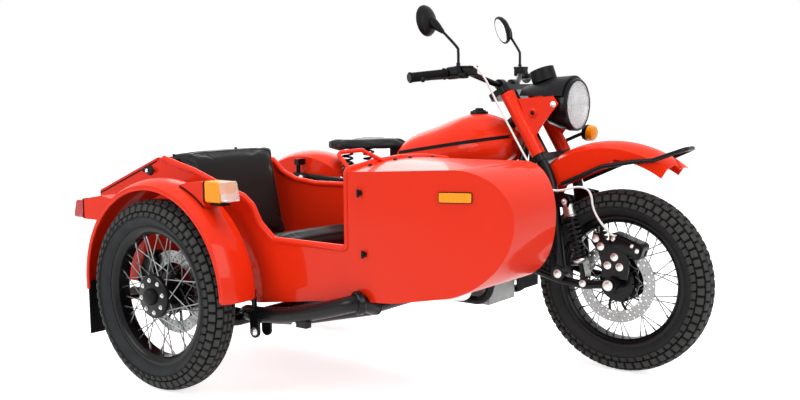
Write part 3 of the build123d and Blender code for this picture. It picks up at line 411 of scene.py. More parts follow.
def drilledRing(near, far, low, high, rows, cells, holes):
    # Each cell of the ring has a hole: its edge square is joined to a circle on both faces.
    sheetParts = []
    line, one = np.linspace(-1, 1, 5)[:-1], np.ones(4)
    corner = np.concatenate([np.stack(pair, 1) for pair in
                             ((line, -one), (one, line), (-line, one), (-one, -line))])
    turn = np.arctan2(corner[:, 1], corner[:, 0])
    tall = (high - low) / rows
    wide = 2 * np.pi / cells
    for row in range(rows):
        for cell in range(cells):
            middleR = low + tall * (row + 0.5)
            middleA = wide * (cell + 0.5 * (row % 2))
            r = middleR + corner[:, 1] * tall / 2
            a = middleA + corner[:, 0] * wide / 2
            rim = np.stack([r * np.cos(a), r * np.sin(a)], 1)
            outward = np.array([math.cos(middleA), math.sin(middleA)])
            sideways = np.array([-outward[1], outward[0]])
            circle = np.cos(turn)[:, None] * sideways + np.sin(turn)[:, None] * outward
            circle = middleR * outward + holes[(cell + row) % 2] * circle
            rings = [np.insert(rim, 1, near, 1), np.insert(circle, 1, near, 1),
                     np.insert(circle, 1, far, 1), np.insert(rim, 1, far, 1)]
            sheetParts.append((np.stack(rings), gridFaces(4, 16, wrapCols=True)))
    a = np.linspace(0, 2 * np.pi, cells * 4, endpoint=False)
    for r, shift in ((low, wide / 2), (high, wide / 2 + wide / 2 * ((rows - 1) % 2))):
        b = a + shift
        edge = [np.stack([r * np.cos(b), np.full_like(b, y), r * np.sin(b)], 1) for y in (near, far)]
        sheetParts.append((np.stack(edge), gridFaces(2, len(b), wrapCols=True)))
    return joined(sheetParts)


def atAngle(angle, radius):
    return np.array([math.cos(angle), 0.0, math.sin(angle)]) * radius


rimOutline = np.array(rimOutline)
rimOutline = np.concatenate([rimOutline, rimOutline[-2:0:-1] * [-1, 1], rimOutline[:1]])
spokeLines = [spokeLine(k) for k in range(spokes["count"])]
discRing = drilledRing(**disc)
arms = [revolved(carrier["ring"], (0, 0, 0), sides=60)]
discBolts = []
for k in range(carrier["arms"]):
    angle = 2 * np.pi * k / carrier["arms"]
    leaning = angle + carrier["lean"]
    line = np.stack([atAngle(a, r) for a, r in zip((angle, angle, leaning), carrier["armRadii"])])
    arms.append(swept(smoothPath(line + [0, carrier["armY"], 0], 5), 5.6, 8, flat=0.42))
    discBolts.append(revolved(carrier["bolt"], atAngle(leaning, carrier["boltRadius"]), sides=12))
for name, wheel in wheels.items():
    centre, body = np.array(wheel["centre"]), wheel["body"]
    flip = np.array([1.0, 1.0, 1.0]) if wheel["discSide"] < 0 else np.array([-1.0, -1.0, 1.0])
    surface, treadShade = tyreSurface(centre)
    tyre = addPiece(name + "TyreTread", surface, tyreRubber, body, [name + "_tyre"], 50)
    # The colour value carries the painted groove shade for the tyre material.
    tyre.data.attributes.new("treadShade", "FLOAT", "POINT").data.foreach_set("value", treadShade.ravel())
    addPiece(name + "Rim", revolved(rimOutline, centre, sides=144), blackMetal, body, [name + "_wheel"])
    rods = [swept(centre + np.stack([a, b]) * flip, spokes["wire"], 8) for a, b in spokeLines]
    addPiece(name + "Spokes", rods, spokeSteel, body)
    nipples = [swept(centre + np.stack([b + (a - b) * share for share in spokes["nippleEnds"]]) * flip,
                     spokes["nipple"], 8) for a, b in spokeLines]
    addPiece(name + "Nipples", nipples, spokeSteel, body)
    for kind, outline, sides, material in (("Hub", hubOutline, 64, blackMetal),
                                           ("HubCap", capOutline, 48, blackPlastic)):
        addPiece(name + kind, revolved(np.array(outline) * [flip[1], 1], centre, sides=sides), material, body)
    for kind, (points, faces), material, old in (("DiscRing", discRing, discSteel, [name + "_disc"]),
                                                 ("DiscCarrier", joined(arms), blackMetal, []),
                                                 ("DiscBolts", joined(discBolts), steel, [])):
        addPiece(name + kind, (points * flip + centre, faces), material, body, old)
print("wheels done")


def onSurface(thing, origins, direction):
    # Where straight rays from the origins meet an object's own mesh.
    found = []
    for origin in origins:
        hit, spot = thing.ray_cast(toFrame(origin).tolist(), direction)[:2]
        if hit:
            found.append((np.array(spot) - layoutShift) * 1000)
    return np.array(found)


# Padded pieces.
def bent(value, power):
    return np.sign(value) * np.abs(value) ** power


def pillow(half, roundSide, roundFace, rows=28, cols=72):
    # Superellipsoid with its own corner powers: across and along the face, and through its thickness.
    lat = np.linspace(-np.pi / 2, np.pi / 2, rows)[:, None]
    lon = np.linspace(-np.pi, np.pi, cols, endpoint=False)[None]
    ring = bent(np.cos(lat), roundFace)
    x = ring * bent(np.cos(lon), roundSide)
    y = ring * bent(np.sin(lon), roundSide)
    z = bent(np.sin(lat), roundFace) * np.ones_like(lon)
    return np.stack([x, y, z], -1) * np.asarray(half, float), gridFaces(rows, cols, wrapCols=True)


def pillowAt(middle, half, roundSide, roundFace, rows=18, cols=48):
    form, faces = pillow(half, roundSide, roundFace, rows, cols)
    return form + np.asarray(middle, float), faces


clothRun = dict(voxel=0.006, quality=4, pressure=4.0, frames=20)


def swell(piece, held, cap):
    # Cloth under pressure: held points stay, no point moves further than cap metres.
    stage = bpy.context.scene
    remesh = piece.modifiers.new("even", "REMESH")
    remesh.mode = "VOXEL"
    remesh.voxel_size = clothRun["voxel"]
    remesh.use_smooth_shade = True
    view = bpy.context.evaluated_depsgraph_get()
    mesh = bpy.data.meshes.new_from_object(piece.evaluated_get(view))
    piece.modifiers.clear()
    look = piece.data.materials[0]
    piece.data = mesh
    mesh.materials.clear()
    mesh.materials.append(look)
    rest = np.zeros(len(mesh.vertices) * 3)
    mesh.vertices.foreach_get("co", rest)
    rest = rest.reshape(-1, 3)
    group = piece.vertex_groups.new(name="held")
    group.add(np.nonzero(held((rest - layoutShift) * 1000))[0].tolist(), 1.0, "REPLACE")
    cloth = piece.modifiers.new("cloth", "CLOTH")
    cloth.settings.quality = clothRun["quality"]
    cloth.settings.use_pressure = True
    cloth.settings.uniform_pressure_force = clothRun["pressure"]
    cloth.settings.effector_weights.gravity = 0.0
    cloth.settings.vertex_group_mass = "held"
    cloth.point_cache.frame_start = 1
    cloth.point_cache.frame_end = clothRun["frames"]
    for step in range(1, clothRun["frames"] + 1):
        stage.frame_set(step)
    view = bpy.context.evaluated_depsgraph_get()
    moved = np.zeros(len(mesh.vertices) * 3)
    piece.evaluated_get(view).data.vertices.foreach_get("co", moved)
    travel = moved.reshape(-1, 3) - rest
    size = np.linalg.norm(travel, axis=1)[:, None]
    travel *= np.minimum(1.0, cap / np.maximum(size, 1e-9))
    piece.modifiers.clear()
    mesh.vertices.foreach_set("co", (rest + travel).ravel())
    mesh.polygons.foreach_set("use_smooth", np.ones(len(mesh.polygons), bool))
    mesh.update()
    stage.frame_set(1)
    smooth = piece.modifiers.new("smooth", "SUBSURF")
    smooth.levels = smooth.render_levels = 1


# Seat back: depth before and behind its line, the line as X over Z, the strip held while it swells.
seatBack = dict(middleY=-714, halfWide=267, taper=34, lowZ=452, highZ=810, front=34, back=26,
                crown=3.0, lineZ=[440, 640, 790, 820], lineX=[258, 212, 181, 174], held=18,
                lean=math.radians(13), seamPoints=160, seamHalf=(222, 0.93), seamRadius=2.4,
                studX=172, studY=(-952, -648))
studOutline = [(-6, 0), (-6, 5), (2, 5), (3, 6.5), (5, 5.5), (6, 0)]


def seatBackSpot(across, along, through):
    # Across is Y, along climbs the leaning back line, through is out of its face.
    z = seatBack["lowZ"] + (along + 1) / 2 * (seatBack["highZ"] - seatBack["lowZ"])
    line = np.interp(z, seatBack["lineZ"], seatBack["lineX"])
    return np.stack([line + through * math.cos(seatBack["lean"]), seatBack["middleY"] + across,
                     z + through * math.sin(seatBack["lean"])], -1)


def seatBackHeld(spots):
    line = np.interp(spots[:, 2], seatBack["lineZ"], seatBack["lineX"])
    return spots[:, 0] < line - seatBack["held"]


form, faces = pillow((1.0, 1.0, 1.0), 0.15, 0.42)
x, y, z = np.moveaxis(form, -1, 0)
across = x * (seatBack["halfWide"] - seatBack["taper"] * (z + 1) / 2)
spots = seatBackSpot(across, y, z * np.where(z > 0, seatBack["front"], seatBack["back"]))
spots[..., 2] += seatBack["crown"] * (1 - x ** 2) * np.clip(y, 0, 1)
seatBackPad = addPiece("seatBackPad", (spots, faces), vinyl, "chassis", ["seat_back"])
swell(seatBackPad, seatBackHeld, 0.012)
# Sewn seam round the front face, laid on the swelled cover from 200 mm before it.
edge = np.linspace(-np.pi, np.pi, seatBack["seamPoints"], endpoint=False)
outward = np.array([math.cos(seatBack["lean"]), 0.0, math.sin(seatBack["lean"])])
seam = seatBackSpot(bent(np.cos(edge), 0.26) * seatBack["seamHalf"][0],
                    bent(np.sin(edge), 0.26) * seatBack["seamHalf"][1], np.full(len(edge), 200))
seam = onSurface(seatBackPad, seam, -outward)
addPiece("seatBackSeam", swept(seam, seatBack["seamRadius"], 8, closed=True), vinyl, "chassis")
studSpots = onSurface(seatBackPad, [(seatBack["studX"], y, 1000) for y in seatBack["studY"]], (0, 0, -1))
studs = [revolved(studOutline, spot, (0, 0, 1), 16) for spot in studSpots]
addPiece("seatBackStuds", studs, blackPlastic, "chassis")

# Cushion: sloping down to the back; its base is level below and slopes with it above.
seat = dict(middle=(497, -715, 463), half=(188, 254, 32), slope=0.19, crown=6.0, crownHalf=262,
            heldZ=447, base=(474, -715, 378), baseHalf=(160, 236, 48))
form, faces = pillow(seat["half"], 0.2, 0.42)
crown = seat["crown"] * (1 - (form[..., 1] / seat["crownHalf"]) ** 2) * (form[..., 2] > 0)
form[..., 2] += seat["slope"] * form[..., 0] + crown
cushion = addPiece("seatCushionPad", (form + np.array(seat["middle"]), faces), vinyl, "chassis",
                   ["seat_cushion"])
swell(cushion, lambda p: p[:, 2] < seat["heldZ"] + seat["slope"] * (p[:, 0] - seat["middle"][0]), 0.012)
form, faces = pillow(seat["baseHalf"], 0.12, 0.16)
form[..., 2] += seat["slope"] * form[..., 0] * (form[..., 2] / seat["baseHalf"][2] + 1) / 2
addPiece("seatBase", (form + np.array(seat["base"]), faces), vinyl, "chassis")

# Tractor saddle: cross sections along X with a dished top and a turned-down skirt.
saddle = dict(x=[144, 150, 162, 186, 215, 250, 300, 350, 400, 450, 485, 502, 509],
              wide=[8, 52, 92, 128, 147, 150, 138, 108, 78, 56, 44, 30, 8],
              top=[786, 795, 802, 806, 806, 806, 808, 812, 815, 816, 815, 811, 804],
              half=16, dish=15, dishX=230, dishReach=150, heldZ=784)
stations = np.concatenate([[144], np.linspace(144.5, 508.5, 60), [509]])
wide = np.interp(stations, saddle["x"], saddle["wide"])[:, None]
top = np.interp(stations, saddle["x"], saddle["top"])[:, None]
t = np.linspace(0, 2 * np.pi, 44, endpoint=False)
yy = wide * bent(np.cos(t), 0.6)
near = np.clip(1 - (stations[:, None] - saddle["dishX"]) ** 2 / saddle["dishReach"] ** 2, 0, 1)
dish = saddle["dish"] * np.clip(np.abs(yy) / np.maximum(wide, 1), 0, 1) ** 2 * near
zz = top - saddle["half"] + saddle["half"] * bent(np.sin(t), 0.75) + dish * (np.sin(t) > -0.2)
saddleRings = np.stack([np.broadcast_to(stations[:, None], yy.shape), yy, zz], -1)
saddlePad = addPiece("saddlePad", capped(saddleRings), vinyl, "chassis", ["saddle"])
swell(saddlePad, lambda p: p[:, 2] < saddle["heldZ"], 0.007)


def coil(start, end, radius, wire, turns, sides=8, stepsPerTurn=22):
    # Helix about the line from start to end with flattened end turns.
    start, end = np.asarray(start, float), np.asarray(end, float)
    axis = (end - start) / np.linalg.norm(end - start)
    u = np.cross(axis, [0, 1, 0])
    u /= np.linalg.norm(u)
    v = np.cross(axis, u)
    s = np.linspace(0, 1, int(turns * stepsPerTurn))
    lift = np.clip((s - 0.06) / 0.88, 0, 1)
    a = 2 * np.pi * turns * s
    path = start + lift[:, None] * (end - start) + radius * (np.cos(a)[:, None] * u + np.sin(a)[:, None] * v)
    return swept(path, wire, sides)


def turned(a, b, profile, sides=32):
    # Revolved about the line from a towards b; the profile's first value is millimetres from a.
    a, b = np.asarray(a, float), np.asarray(b, float)
    return revolved(profile, a, (b - a), sides)


# Saddle carrier: plate, pivot block at the front, two coils at the back.
bracket = [pillowAt((320, 0, 679), (82, 100, 10), 0.1, 0.1, 16, 40),
           pillowAt((462, 0, 742), (26, 16, 52), 0.2, 0.2, 16, 40)]
addPiece("saddleBracket", bracket, blackMetal, "chassis")
coils = [coil((250, y, 689), (250, y, 786), 22, 4.5, 5.5) for y in (-72, 72)]
addPiece("saddleSprings", coils, blackMetal, "chassis")

# Spring units: ends, then can and coil as millimetres down from the top.
shocks = {
    "front": dict(top=(1322, 102, 618), foot=(1396, 102, 326), body="steering",
                  node="front_shocks", can=(8.0, 52), spring=(54, 212), turns=10.5),
    "rear": dict(top=(60, 150, 640), foot=(20, 152, 352), body="chassis",
                 node="rear_shocks", can=(10, 60), spring=(62, 198), turns=9.5),
}
eyeOutline = [(-15.5, 0), (-15.5, 14), (-13, 16.5), (13, 16.5), (15.5, 14), (15.5, 0)]
for name, unit in shocks.items():
    bright, dark, wires = [], [], []
    for side in (-1, 1):
        a = np.array(unit["top"]) * [1, side, 1]
        b = np.array(unit["foot"]) * [1, side, 1]
        length = np.linalg.norm(b - a)
        (c0, c1), (s0, s1) = unit["can"], unit["spring"]
        can = [(c0, 0), (c0, 18), (c0 + 4, 22), (c1 - 3, 22), (c1, 27), (c1 + 4, 27), (c1 + 4, 0)]
        cup = [(s1, 0), (s1, 27), (s1 + 6, 28), (s1 + 14, 22), (s1 + 18, 12), (s1 + 18, 0)]
        bright += [turned(a, b, can), turned(a, b, cup)]
        for low, high, radius in ((c1, s1, 13), (s1 + 16, length, 9)):
            dark.append(turned(a, b, [(low, 0), (low, radius), (high, radius), (high, 0)]))
        dark += [revolved(eyeOutline, spot, sides=28) for spot in (a, b)]
        ends = [a + (b - a) / length * down for down in (s0, s1)]
        wires.append(coil(*ends, 23, 4.4, unit["turns"]))
    addPiece(name + "ShockCans", bright, steel, unit["body"], [unit["node"]])
    addPiece(name + "ShockRods", dark, blackMetal, unit["body"])
    addPiece(name + "ShockCoils", wires, blackMetal, unit["body"])

# Headlamp: bucket and ring, bright bowl, bulb shield, fluted glass, all along X from its middle.
lampSpot = (1305, 0.0, 966)
lampGlass = dict(radius=87.6, dome=14, edgeX=6.0, thick=4.5, flute=0.9, pitch=13, fluteHalf=64)
bucket = [(-130, 0), (-130, 34), (-124, 46), (-95, 76), (-45, 92), (-24, 93.5), (-24, 96), (-20, 97), (3, 97),
          (7, 94), (8, 91), (7.5, 88.4), (-3, 88.2), (-8, 84), (-30, 80), (-30, 0)]
addPiece("headlampShell", revolved(bucket, lampSpot, (1, 0, 0), 72), blackMetal, "steering", ["headlamp"])
bowl = [(-29.1 + 27 * (r / 86) ** 2, r - 1.6) for r in np.linspace(86, 14, 26)]
bowl = [(-4, 84.5)] + bowl + [(-29, 0), (-29.6, 0), (-29.6, 79.5), (-7.6, 84), (-4, 84.5)]
addPiece("headlampBowl", revolved(bowl, lampSpot, (1, 0, 0), 72), chrome, "steering")
shield = [(-28.8, 0), (-28.8, 9), (-14, 11), (-10, 9), (-9, 0)]
addPiece("headlampBulb", revolved(shield, lampSpot, (1, 0, 0), 28), steel, "steering")
r = np.linspace(0, lampGlass["radius"], 40)[:, None]
t = np.linspace(0, 2 * np.pi, 120, endpoint=False)
yy, zz = r * np.cos(t), r * np.sin(t)
front = lampGlass["edgeX"] + lampGlass["dome"] * (1 - (r / 88) ** 2)
fluted = np.abs(zz) < lampGlass["fluteHalf"]
flute = lampGlass["flute"] * np.cos(2 * np.pi * yy / lampGlass["pitch"]) * fluted
rear = front - lampGlass["thick"] + flute * np.clip((86 - r) / 8, 0, 1)
lens = np.concatenate([np.stack([np.broadcast_to(front, yy.shape), yy, zz], -1),
                       np.stack([rear, yy, zz], -1)[::-1]]) + np.array(lampSpot)
addPiece("headlampGlass", (lens, gridFaces(len(lens), len(t), wrapCols=True)), clearLens, "steering",
         ["headlamp_lens"])

# Turn signal on the left fork leg: cup on its stalk, domed lens.
signal = dict(a=np.array([1250, 165, 858]), b=np.array([1305, 165, 852]),
              cup=[(0, 0), (0, 20), (4, 28), (16, 32), (22, 32), (22, 0)],
              dome=[(22.3, 0), (22.3, 30.5), (34, 31), (46, 28), (53, 18), (55, 0)],
              stalk=[(1254, 165, 856), (1222, 148, 841), (1188, 129, 823)])
cup = joined([turned(signal["a"], signal["b"], signal["cup"]), swept(signal["stalk"], 7.0, 14)])
addPiece("signalCup", cup, blackPlastic, "steering", ["front_signal"])
addPiece("signalLens", turned(signal["a"], signal["b"], signal["dome"]), amberLens, "steering")

# Grips with rings.
ridges = [(8 + x, 17.3 + 0.7 * (k % 2)) for k, x in enumerate(np.arange(0, 132, 2.2))]
gripOutline = [(0, 0), (0, 21), (5, 22), (7, 18)] + ridges + [(142, 17), (145, 20), (149, 20), (150, 0)]
grips = [turned((910, 283 * side, 1083.7), (847, 421 * side, 1069.7), gripOutline, 36)
         for side in (-1, 1)]
addPiece("grips", grips, rubber, "steering")

# Mirrors: stalk points, middle of the glass, direction of the back.
mirrorSets = [
    dict(stalk=[(940, -240, 1090), (940, -240, 1164), (935, -242, 1182), (901, -253, 1221),
                (884, -257, 1238)],
         middle=(806, -266, 1282), back=(0.98, 0.05, 0.14)),
    dict(stalk=[(929, 225, 1090), (929, 225, 1162), (922, 230, 1180), (878, 260, 1220), (858, 273, 1238)],
         middle=(818, 258, 1268), back=(0.59, 0.766, 0.346)),
]
headOutline = [(-0.6, 0), (-0.6, 57), (2, 59), (8, 59), (17, 54), (25, 44), (31, 28), (33, 10), (33.5, 0)]
glassOutline = [(0.2, 0), (0.2, 50), (1.2, 49), (1.4, 0)]
footOutline = [(0, 0), (0, 9.5), (22, 9.5), (25, 7.5), (34, 7.5), (36, 5), (36, 0)]
neck = dict(depth=21, share=0.10, radii=[18, 18, 15.5, 11.5, 7.5])
stalks, heads, glass = [], [], []
for unit in mirrorSets:
    middle = np.array(unit["middle"], float)
    back = np.array(unit["back"]) / np.linalg.norm(unit["back"])
    foot, tip = np.array(unit["stalk"][0], float), np.array(unit["stalk"][-1], float)
    root = middle + back * neck["depth"] + (tip - middle) * neck["share"]
    stalks += [swept(smoothPath(unit["stalk"], 8), 5.2, 14), revolved(footOutline, foot, (0, 0, 1), 6)]
    neckLine = root + np.linspace(0, 1, len(neck["radii"]))[:, None] * (tip - root)
    heads += [revolved(headOutline, middle, back, 56), swept(neckLine, neck["radii"], 24)]
    glass.append(revolved(glassOutline, middle, -back, 56))
addPiece("mirrorStalks", stalks, blackMetal, "steering", ["mirrors"])
addPiece("mirrorBacks", heads, blackPlastic, "steering")
addPiece("mirrorGlass", glass, mirrorGlass, "steering")

# Hand controls: reservoir with lid on the right, switch box on the left, pods, buttons and levers on both.
handSets = [dict(side=-1, middle=(952, -204, 1092), half=(33, 29, 17)),
            dict(side=1, middle=(944, 208, 1094), half=(22, 20, 17))]
podOutline = [(0, 0), (0, 19), (3, 23), (16, 24), (18, 22.5), (20, 24), (46, 23), (51, 19), (52, 0)]
clampOutline = [(0, 0), (0, 17), (24, 17), (24, 0)]
leverBall = [(-9, 0), (-7, 6), (0, 9), (7, 6), (9, 0)]
boxes, pods, screws = [], [], []
for unit in handSets:
    side, middle, half = unit["side"], np.array(unit["middle"]), np.array(unit["half"])
    boxes += [pillowAt(middle, half, 0.16, 0.24),
              pillowAt(middle + [0, 0, half[2]], half * [1.05, 1.05, 0.28], 0.12, 0.24)]
    for dx in (-0.6, 0.6):
        spot = middle + [dx * half[0], 0, half[2] * 1.26]
        screws.append(revolved([(0, 0), (0, 4.5), (1.6, 4), (2, 0)], spot, (0, 0, 1), 14))
    podFoot, leverTip = np.array([936, side * 229, 1089.5]), (905, side * 415, 1061)
    pods.append(turned(podFoot, (911, side * 284, 1084), podOutline, 36))
    pods.append(turned((953, side * 192, 1093), (943, side * 214, 1090.8), clampOutline, 28))
    pods.append(pillowAt((952, side * 236, 1077), (22, 22, 11), 0.4, 0.4, 14, 32))
    blade = [(955, side * 228, 1078), (958, side * 262, 1074), (950, side * 318, 1068), leverTip]
    blade = smoothPath(blade, 10)
    width = np.interp(np.arange(len(blade)), [0, 8, len(blade) - 1], [9.0, 7.5, 5.0])
    pods += [swept(blade, width, 14, flat=0.6), revolved(leverBall, leverTip, (0, 0, 1), 20)]
    for along, high in ((24, 25), (36, 27)):
        button = podFoot + np.array([-0.41, side * 0.905, -0.09]) * along
        outline = [(0, 0), (0, 5), (high, 5), (high + 1, 0)]
        pods.append(revolved(outline, button, (-0.8, -side * 0.4, 0.3), 14))
addPiece("handBoxes", boxes, blackPlastic, "steering", ["controls"])
addPiece("handPods", pods, blackPlastic, "steering")
addPiece("handScrews", screws, steel, "steering")

# Tank cap: flange, step and raised centre.
capTop = [(0, 0), (0, 36), (31, 36), (35, 34), (36, 27), (40, 25.5), (41, 17), (46, 15.5), (47.5, 12),
          (47.5, 0)]
addPiece("tankCap", revolved(capTop, (876.3, 0.0, 905), (0.04, 0, 1), 56), blackPlastic, "chassis",
         ["fuel_cap"])
print("soft pieces and lamps done")

# Nose wall: its plan curve is one arc, widest at noseX.
noseX, noseRadius = 1043, (497 ** 2 + 159 ** 2) / 318
noseCentreY = -1000 + noseRadius


def noseWall(x, z, out=0.0):
    # Point on the right wall of the nose, out millimetres off it.
    angle = np.arcsin((np.asarray(x, float) - noseX) / noseRadius)
    return np.stack([noseX + (noseRadius + out) * np.sin(angle),
                     noseCentreY - (noseRadius + out) * np.cos(angle),
                     np.broadcast_to(np.asarray(z, float), angle.shape)], -1)


# Side reflector, two plates that follow the nose wall: half length and height, middle off it, half depth.
reflector = dict(x=1391, z=713, base=(46, 16.5, 1.0, 3.2), face=(43.5, 14, 5.0, 2.6))
form, faces = pillow((1.0, 1.0, 1.0), 0.14, 0.2, 20, 64)
for name, kind, material in (("reflectorBase", "base", blackPlastic), ("reflectorFace", "face", amberLens)):
    long, tall, out, deep = reflector[kind]
    plate = noseWall(reflector["x"] + long * form[..., 0], reflector["z"] + tall * form[..., 1],
                     out + deep * form[..., 2])
    addPiece(name, (plate, faces), material, "chassis")


def hexBolt(spot, normal, radius=8.0, height=6.0):
    # Washer disc with a six-sided head.
    wide = radius * 1.45
    washer = [(-1, 0), (-1, wide), (1.4, wide), (1.8, radius * 1.3), (1.8, 0)]
    head = [(1.6, 0), (1.6, radius), (height - 1, radius), (height, radius * 0.8), (height, 0)]
    return joined([revolved(washer, spot, normal, 20), revolved(head, spot, normal, 6)])


# Bolts: place and radius, one on each side of the middle or on the right alone, facing away from it.
right, left = (0, -1, 0), (0, 1, 0)
caliperBolts = [(1433, 491), (1453, 464), (1507, 430), (1481, 398), (1527, 396)]
boltPairs = {
    "steering": [(1300, 128.2, 353, 11), (1396, 118, 326, 9), (1322, 123.4, 618, 8), (1265, 108.2, 969, 8),
                 (1500, 130.2, 332, 13)],
    "chassis": [(60, 166, 648, 9), (0, 139.2, 332, 14)],
}
boltHeads = {
    "steering": [hexBolt((x, -94.2, z), right, 10, 7.5) for x, z in caliperBolts],
    "chassis": [hexBolt((644, -1120, 364), (0.99, 0, 0.03), 7, 5.25),
                hexBolt((650, -1054, 372), (0.9, 0, 0.1), 6, 4.5)],
}
for body, pairs in boltPairs.items():
    heads = [hexBolt((x, side * y, z), (0, side, 0), size, size * 0.75)
             for x, y, z, size in pairs for side in (-1, 1)]
    addPiece(body + "Bolts", boltHeads[body] + heads, zinc, body)

# Turn buttons for the tonneau on the nose wall: (X, Z) of each.
buttonOutline = [(0, 0), (0, 9), (3, 9), (4, 6), (9, 5), (9, 0)]
buttons = []
for x, z in ((1091, 716), (1105, 529)):
    spot = noseWall(np.array(x), np.array(z), 0.2)
    out = spot - np.array([noseX, noseCentreY, z])
    buttons.append(revolved(buttonOutline, spot, out, 20))
    buttons.append(pillowAt(spot + out / np.linalg.norm(out) * 11, (4.0, 3.5, 13), 0.5, 0.5, 12, 20))
addPiece("turnButtons", buttons, blackPlastic, "chassis")

# Trunk latch: plate, cross handle and bright pin.
latch = dict(spot=np.array([88, -995.2, 742]), plate=[(0, 0), (0, 19), (3, 19), (5, 15), (5, 0)],
             handleHalf=(34, 5.0, 8.0), handleOut=11,
             pin=[(12, 0), (12, 7.5), (17.5, 7), (18.5, 5), (18.5, 0)])
latchParts = [revolved(latch["plate"], latch["spot"], right, 32),
              pillowAt(latch["spot"] - [0, latch["handleOut"], 0], latch["handleHalf"], 0.5, 0.6, 14, 28)]
addPiece("trunkLatch", latchParts, blackPlastic, "chassis")
addPiece("trunkLatchPin", revolved(latch["pin"], latch["spot"], right, 24), chrome, "chassis")
print("small parts done")

# Lamps on the sidecar fender: lens middle, half size, lean of the top forward, material, old node.
fenderLenses = {
    "markerAmber": ((594, -1120, 703), (37.5, 30.5, 35.5), 0.0, amberLens, ["marker_lens"]),
    "markerClear": ((643.5, -1120, 706), (14, 29.5, 32.5), -7.0, clearLens, []),
    "tailRed": ((-135.5, -1120, 600.5), (27, 30.5, 33), 9.0, redLens, ["side_tail_lens"]),
}
for name, (middle, half, lean, material, old) in fenderLenses.items():
    form, faces = pillow(half, 0.14, 0.2, 24, 64)
    form[..., 0] += form[..., 2] / half[2] * lean
    addPiece(name + "Lens", (form + np.array(middle), faces), material, "chassis", old)
gaskets = [pillowAt((x, -1120, z), (3.2, 31.8, tall), 0.1, 0.12, 20, 48)
           for x, z, tall in ((556.2, 702, 35), (-107, 603, 38))]
gaskets.append(pillowAt((610, -1130, 663), (30, 20, 4.0), 0.2, 0.3, 14, 40))
addPiece("lampGaskets", gaskets, rubber, "chassis")

# Bow outside the tub's lower right edge: tube, clamp ring, hanging lugs with their bolts.
bow = dict(path=[(520, -942, 252), (556, -975, 268), (602, -1010, 283), (650, -1026, 287), (720, -1029, 293),
                 (820, -1030, 307), (934, -1030, 333), (1021, -1029, 358), (1066, -1026, 372),
                 (1092, -1012, 378), (1099, -985, 370), (1098, -945, 354)],
           radius=26, clampSpot=(1094, -1010, 379), clampAxis=(0.42, 0.90, 0.10),
           clampOutline=[(-16, 24), (-16, 33), (-12, 37), (2, 38), (6, 34), (6, 24), (-16, 24)],
           lugs=[(671, -1047, 234), (668, -990, 230)], lugRise=24, lugHalf=(21, 5.0, 24),
           lugOutline=[(-5, 0), (-5, 20), (-4, 21), (4, 21), (5, 20), (5, 0)])
bowParts = [swept(smoothPath(bow["path"], 8), bow["radius"], 28),
            revolved(bow["clampOutline"], bow["clampSpot"], bow["clampAxis"], 44)]
for spot in bow["lugs"]:
    bowParts.append(revolved(bow["lugOutline"], spot, left, 36))
    bowParts.append(pillowAt(np.array(spot) + [0, 0, bow["lugRise"]], bow["lugHalf"], 0.2, 0.2, 18, 40))
bowParts.append(pillowAt((669.5, -1018.5, 268), (21, 33, 5.0), 0.2, 0.2, 18, 40))
bowParts.append(pillowAt((866, -1030, 286), (34, 12, 13), 0.2, 0.2, 18, 40))
addPiece("sideBow", bowParts, blackMetal, "chassis")
bowBolts = [hexBolt((671, -1052, 234), right, 10, 8.0),
            hexBolt((844, -1042, 282), right, 7.0, 5.0)]
addPiece("sideBowBolts", bowBolts, zinc, "chassis")


def fenderArc(radius, y, low, high, count):
    # Arc over the sidecar wheel at one Y, between two angles from straight up.
    angle = np.radians(np.linspace(low, high, count))
    return np.stack([315 + radius * np.sin(angle), np.full(count, y), 350 + radius * np.cos(angle)], 1)


# Rolled lip of the sidecar fender.
addPiece("fenderLip", swept(fenderArc(351, -1190.5, -94, 89, 110), 4.6, 12), paint, "chassis")

# Seal under the trunk lid along its right and rear edges.
seal = [(128, -996.2, 777.4), (-216, -996.2, 642), (-221.2, -990, 640.6), (-221.2, -440, 640.6)]
addPiece("trunkSeal", swept(seal, 2.6, 8), rubber, "chassis")

# Black strip along each side of the tank: four corners of a thin band carried over the surface.
strip = dict(ends=(540, 1062), count=60, startX=544, startZ=771, climb=0.148,
             corners=((-6.5, 1.6), (6.5, 1.6), (6.5, -1.5), (-6.5, -1.5)))
x = np.linspace(*strip["ends"], strip["count"])
z = strip["startZ"] + strip["climb"] * (x - strip["startX"])
strips = []
for side in (-1, 1):
    edges = []
    for rise, out in strip["corners"]:
        starts = np.stack([x, np.full(len(x), side * 400), z + rise], 1)
        edges.append(onSurface(nodes["fuel_tank"], starts, (0, -side, 0)) + np.array([0.0, side * out, 0.0]))
    count = min(len(line) for line in edges)
    strips.append(capped(np.stack([line[:count] for line in edges], 1)))
addPiece("tankStrips", strips, rubber, "chassis")

# Caliper face: rounded cover leaning round the axle, with its bolts.
caliper = dict(middle=(1545, -90.5, 471), half=(60, 9.0, 25), lean=math.radians(18),
               boltOut=-6.5, bolts=((-48, 10), (48, 4), (26, 12)))
form, faces = pillow(caliper["half"], 0.5, 0.55, 20, 48)
c, s = math.cos(caliper["lean"]), math.sin(caliper["lean"])
spin = np.array([[c, 0, s], [0, 1, 0], [-s, 0, c]])
middle = np.array(caliper["middle"])
addPiece("caliperFace", (form @ spin.T + middle, faces), blackMetal, "steering")
heads = [hexBolt(spin @ np.array([dx, caliper["boltOut"], dz]) + middle, right, 6.0, 5.0)
         for dx, dz in caliper["bolts"]]
addPiece("caliperBolts", heads, zinc, "steering")

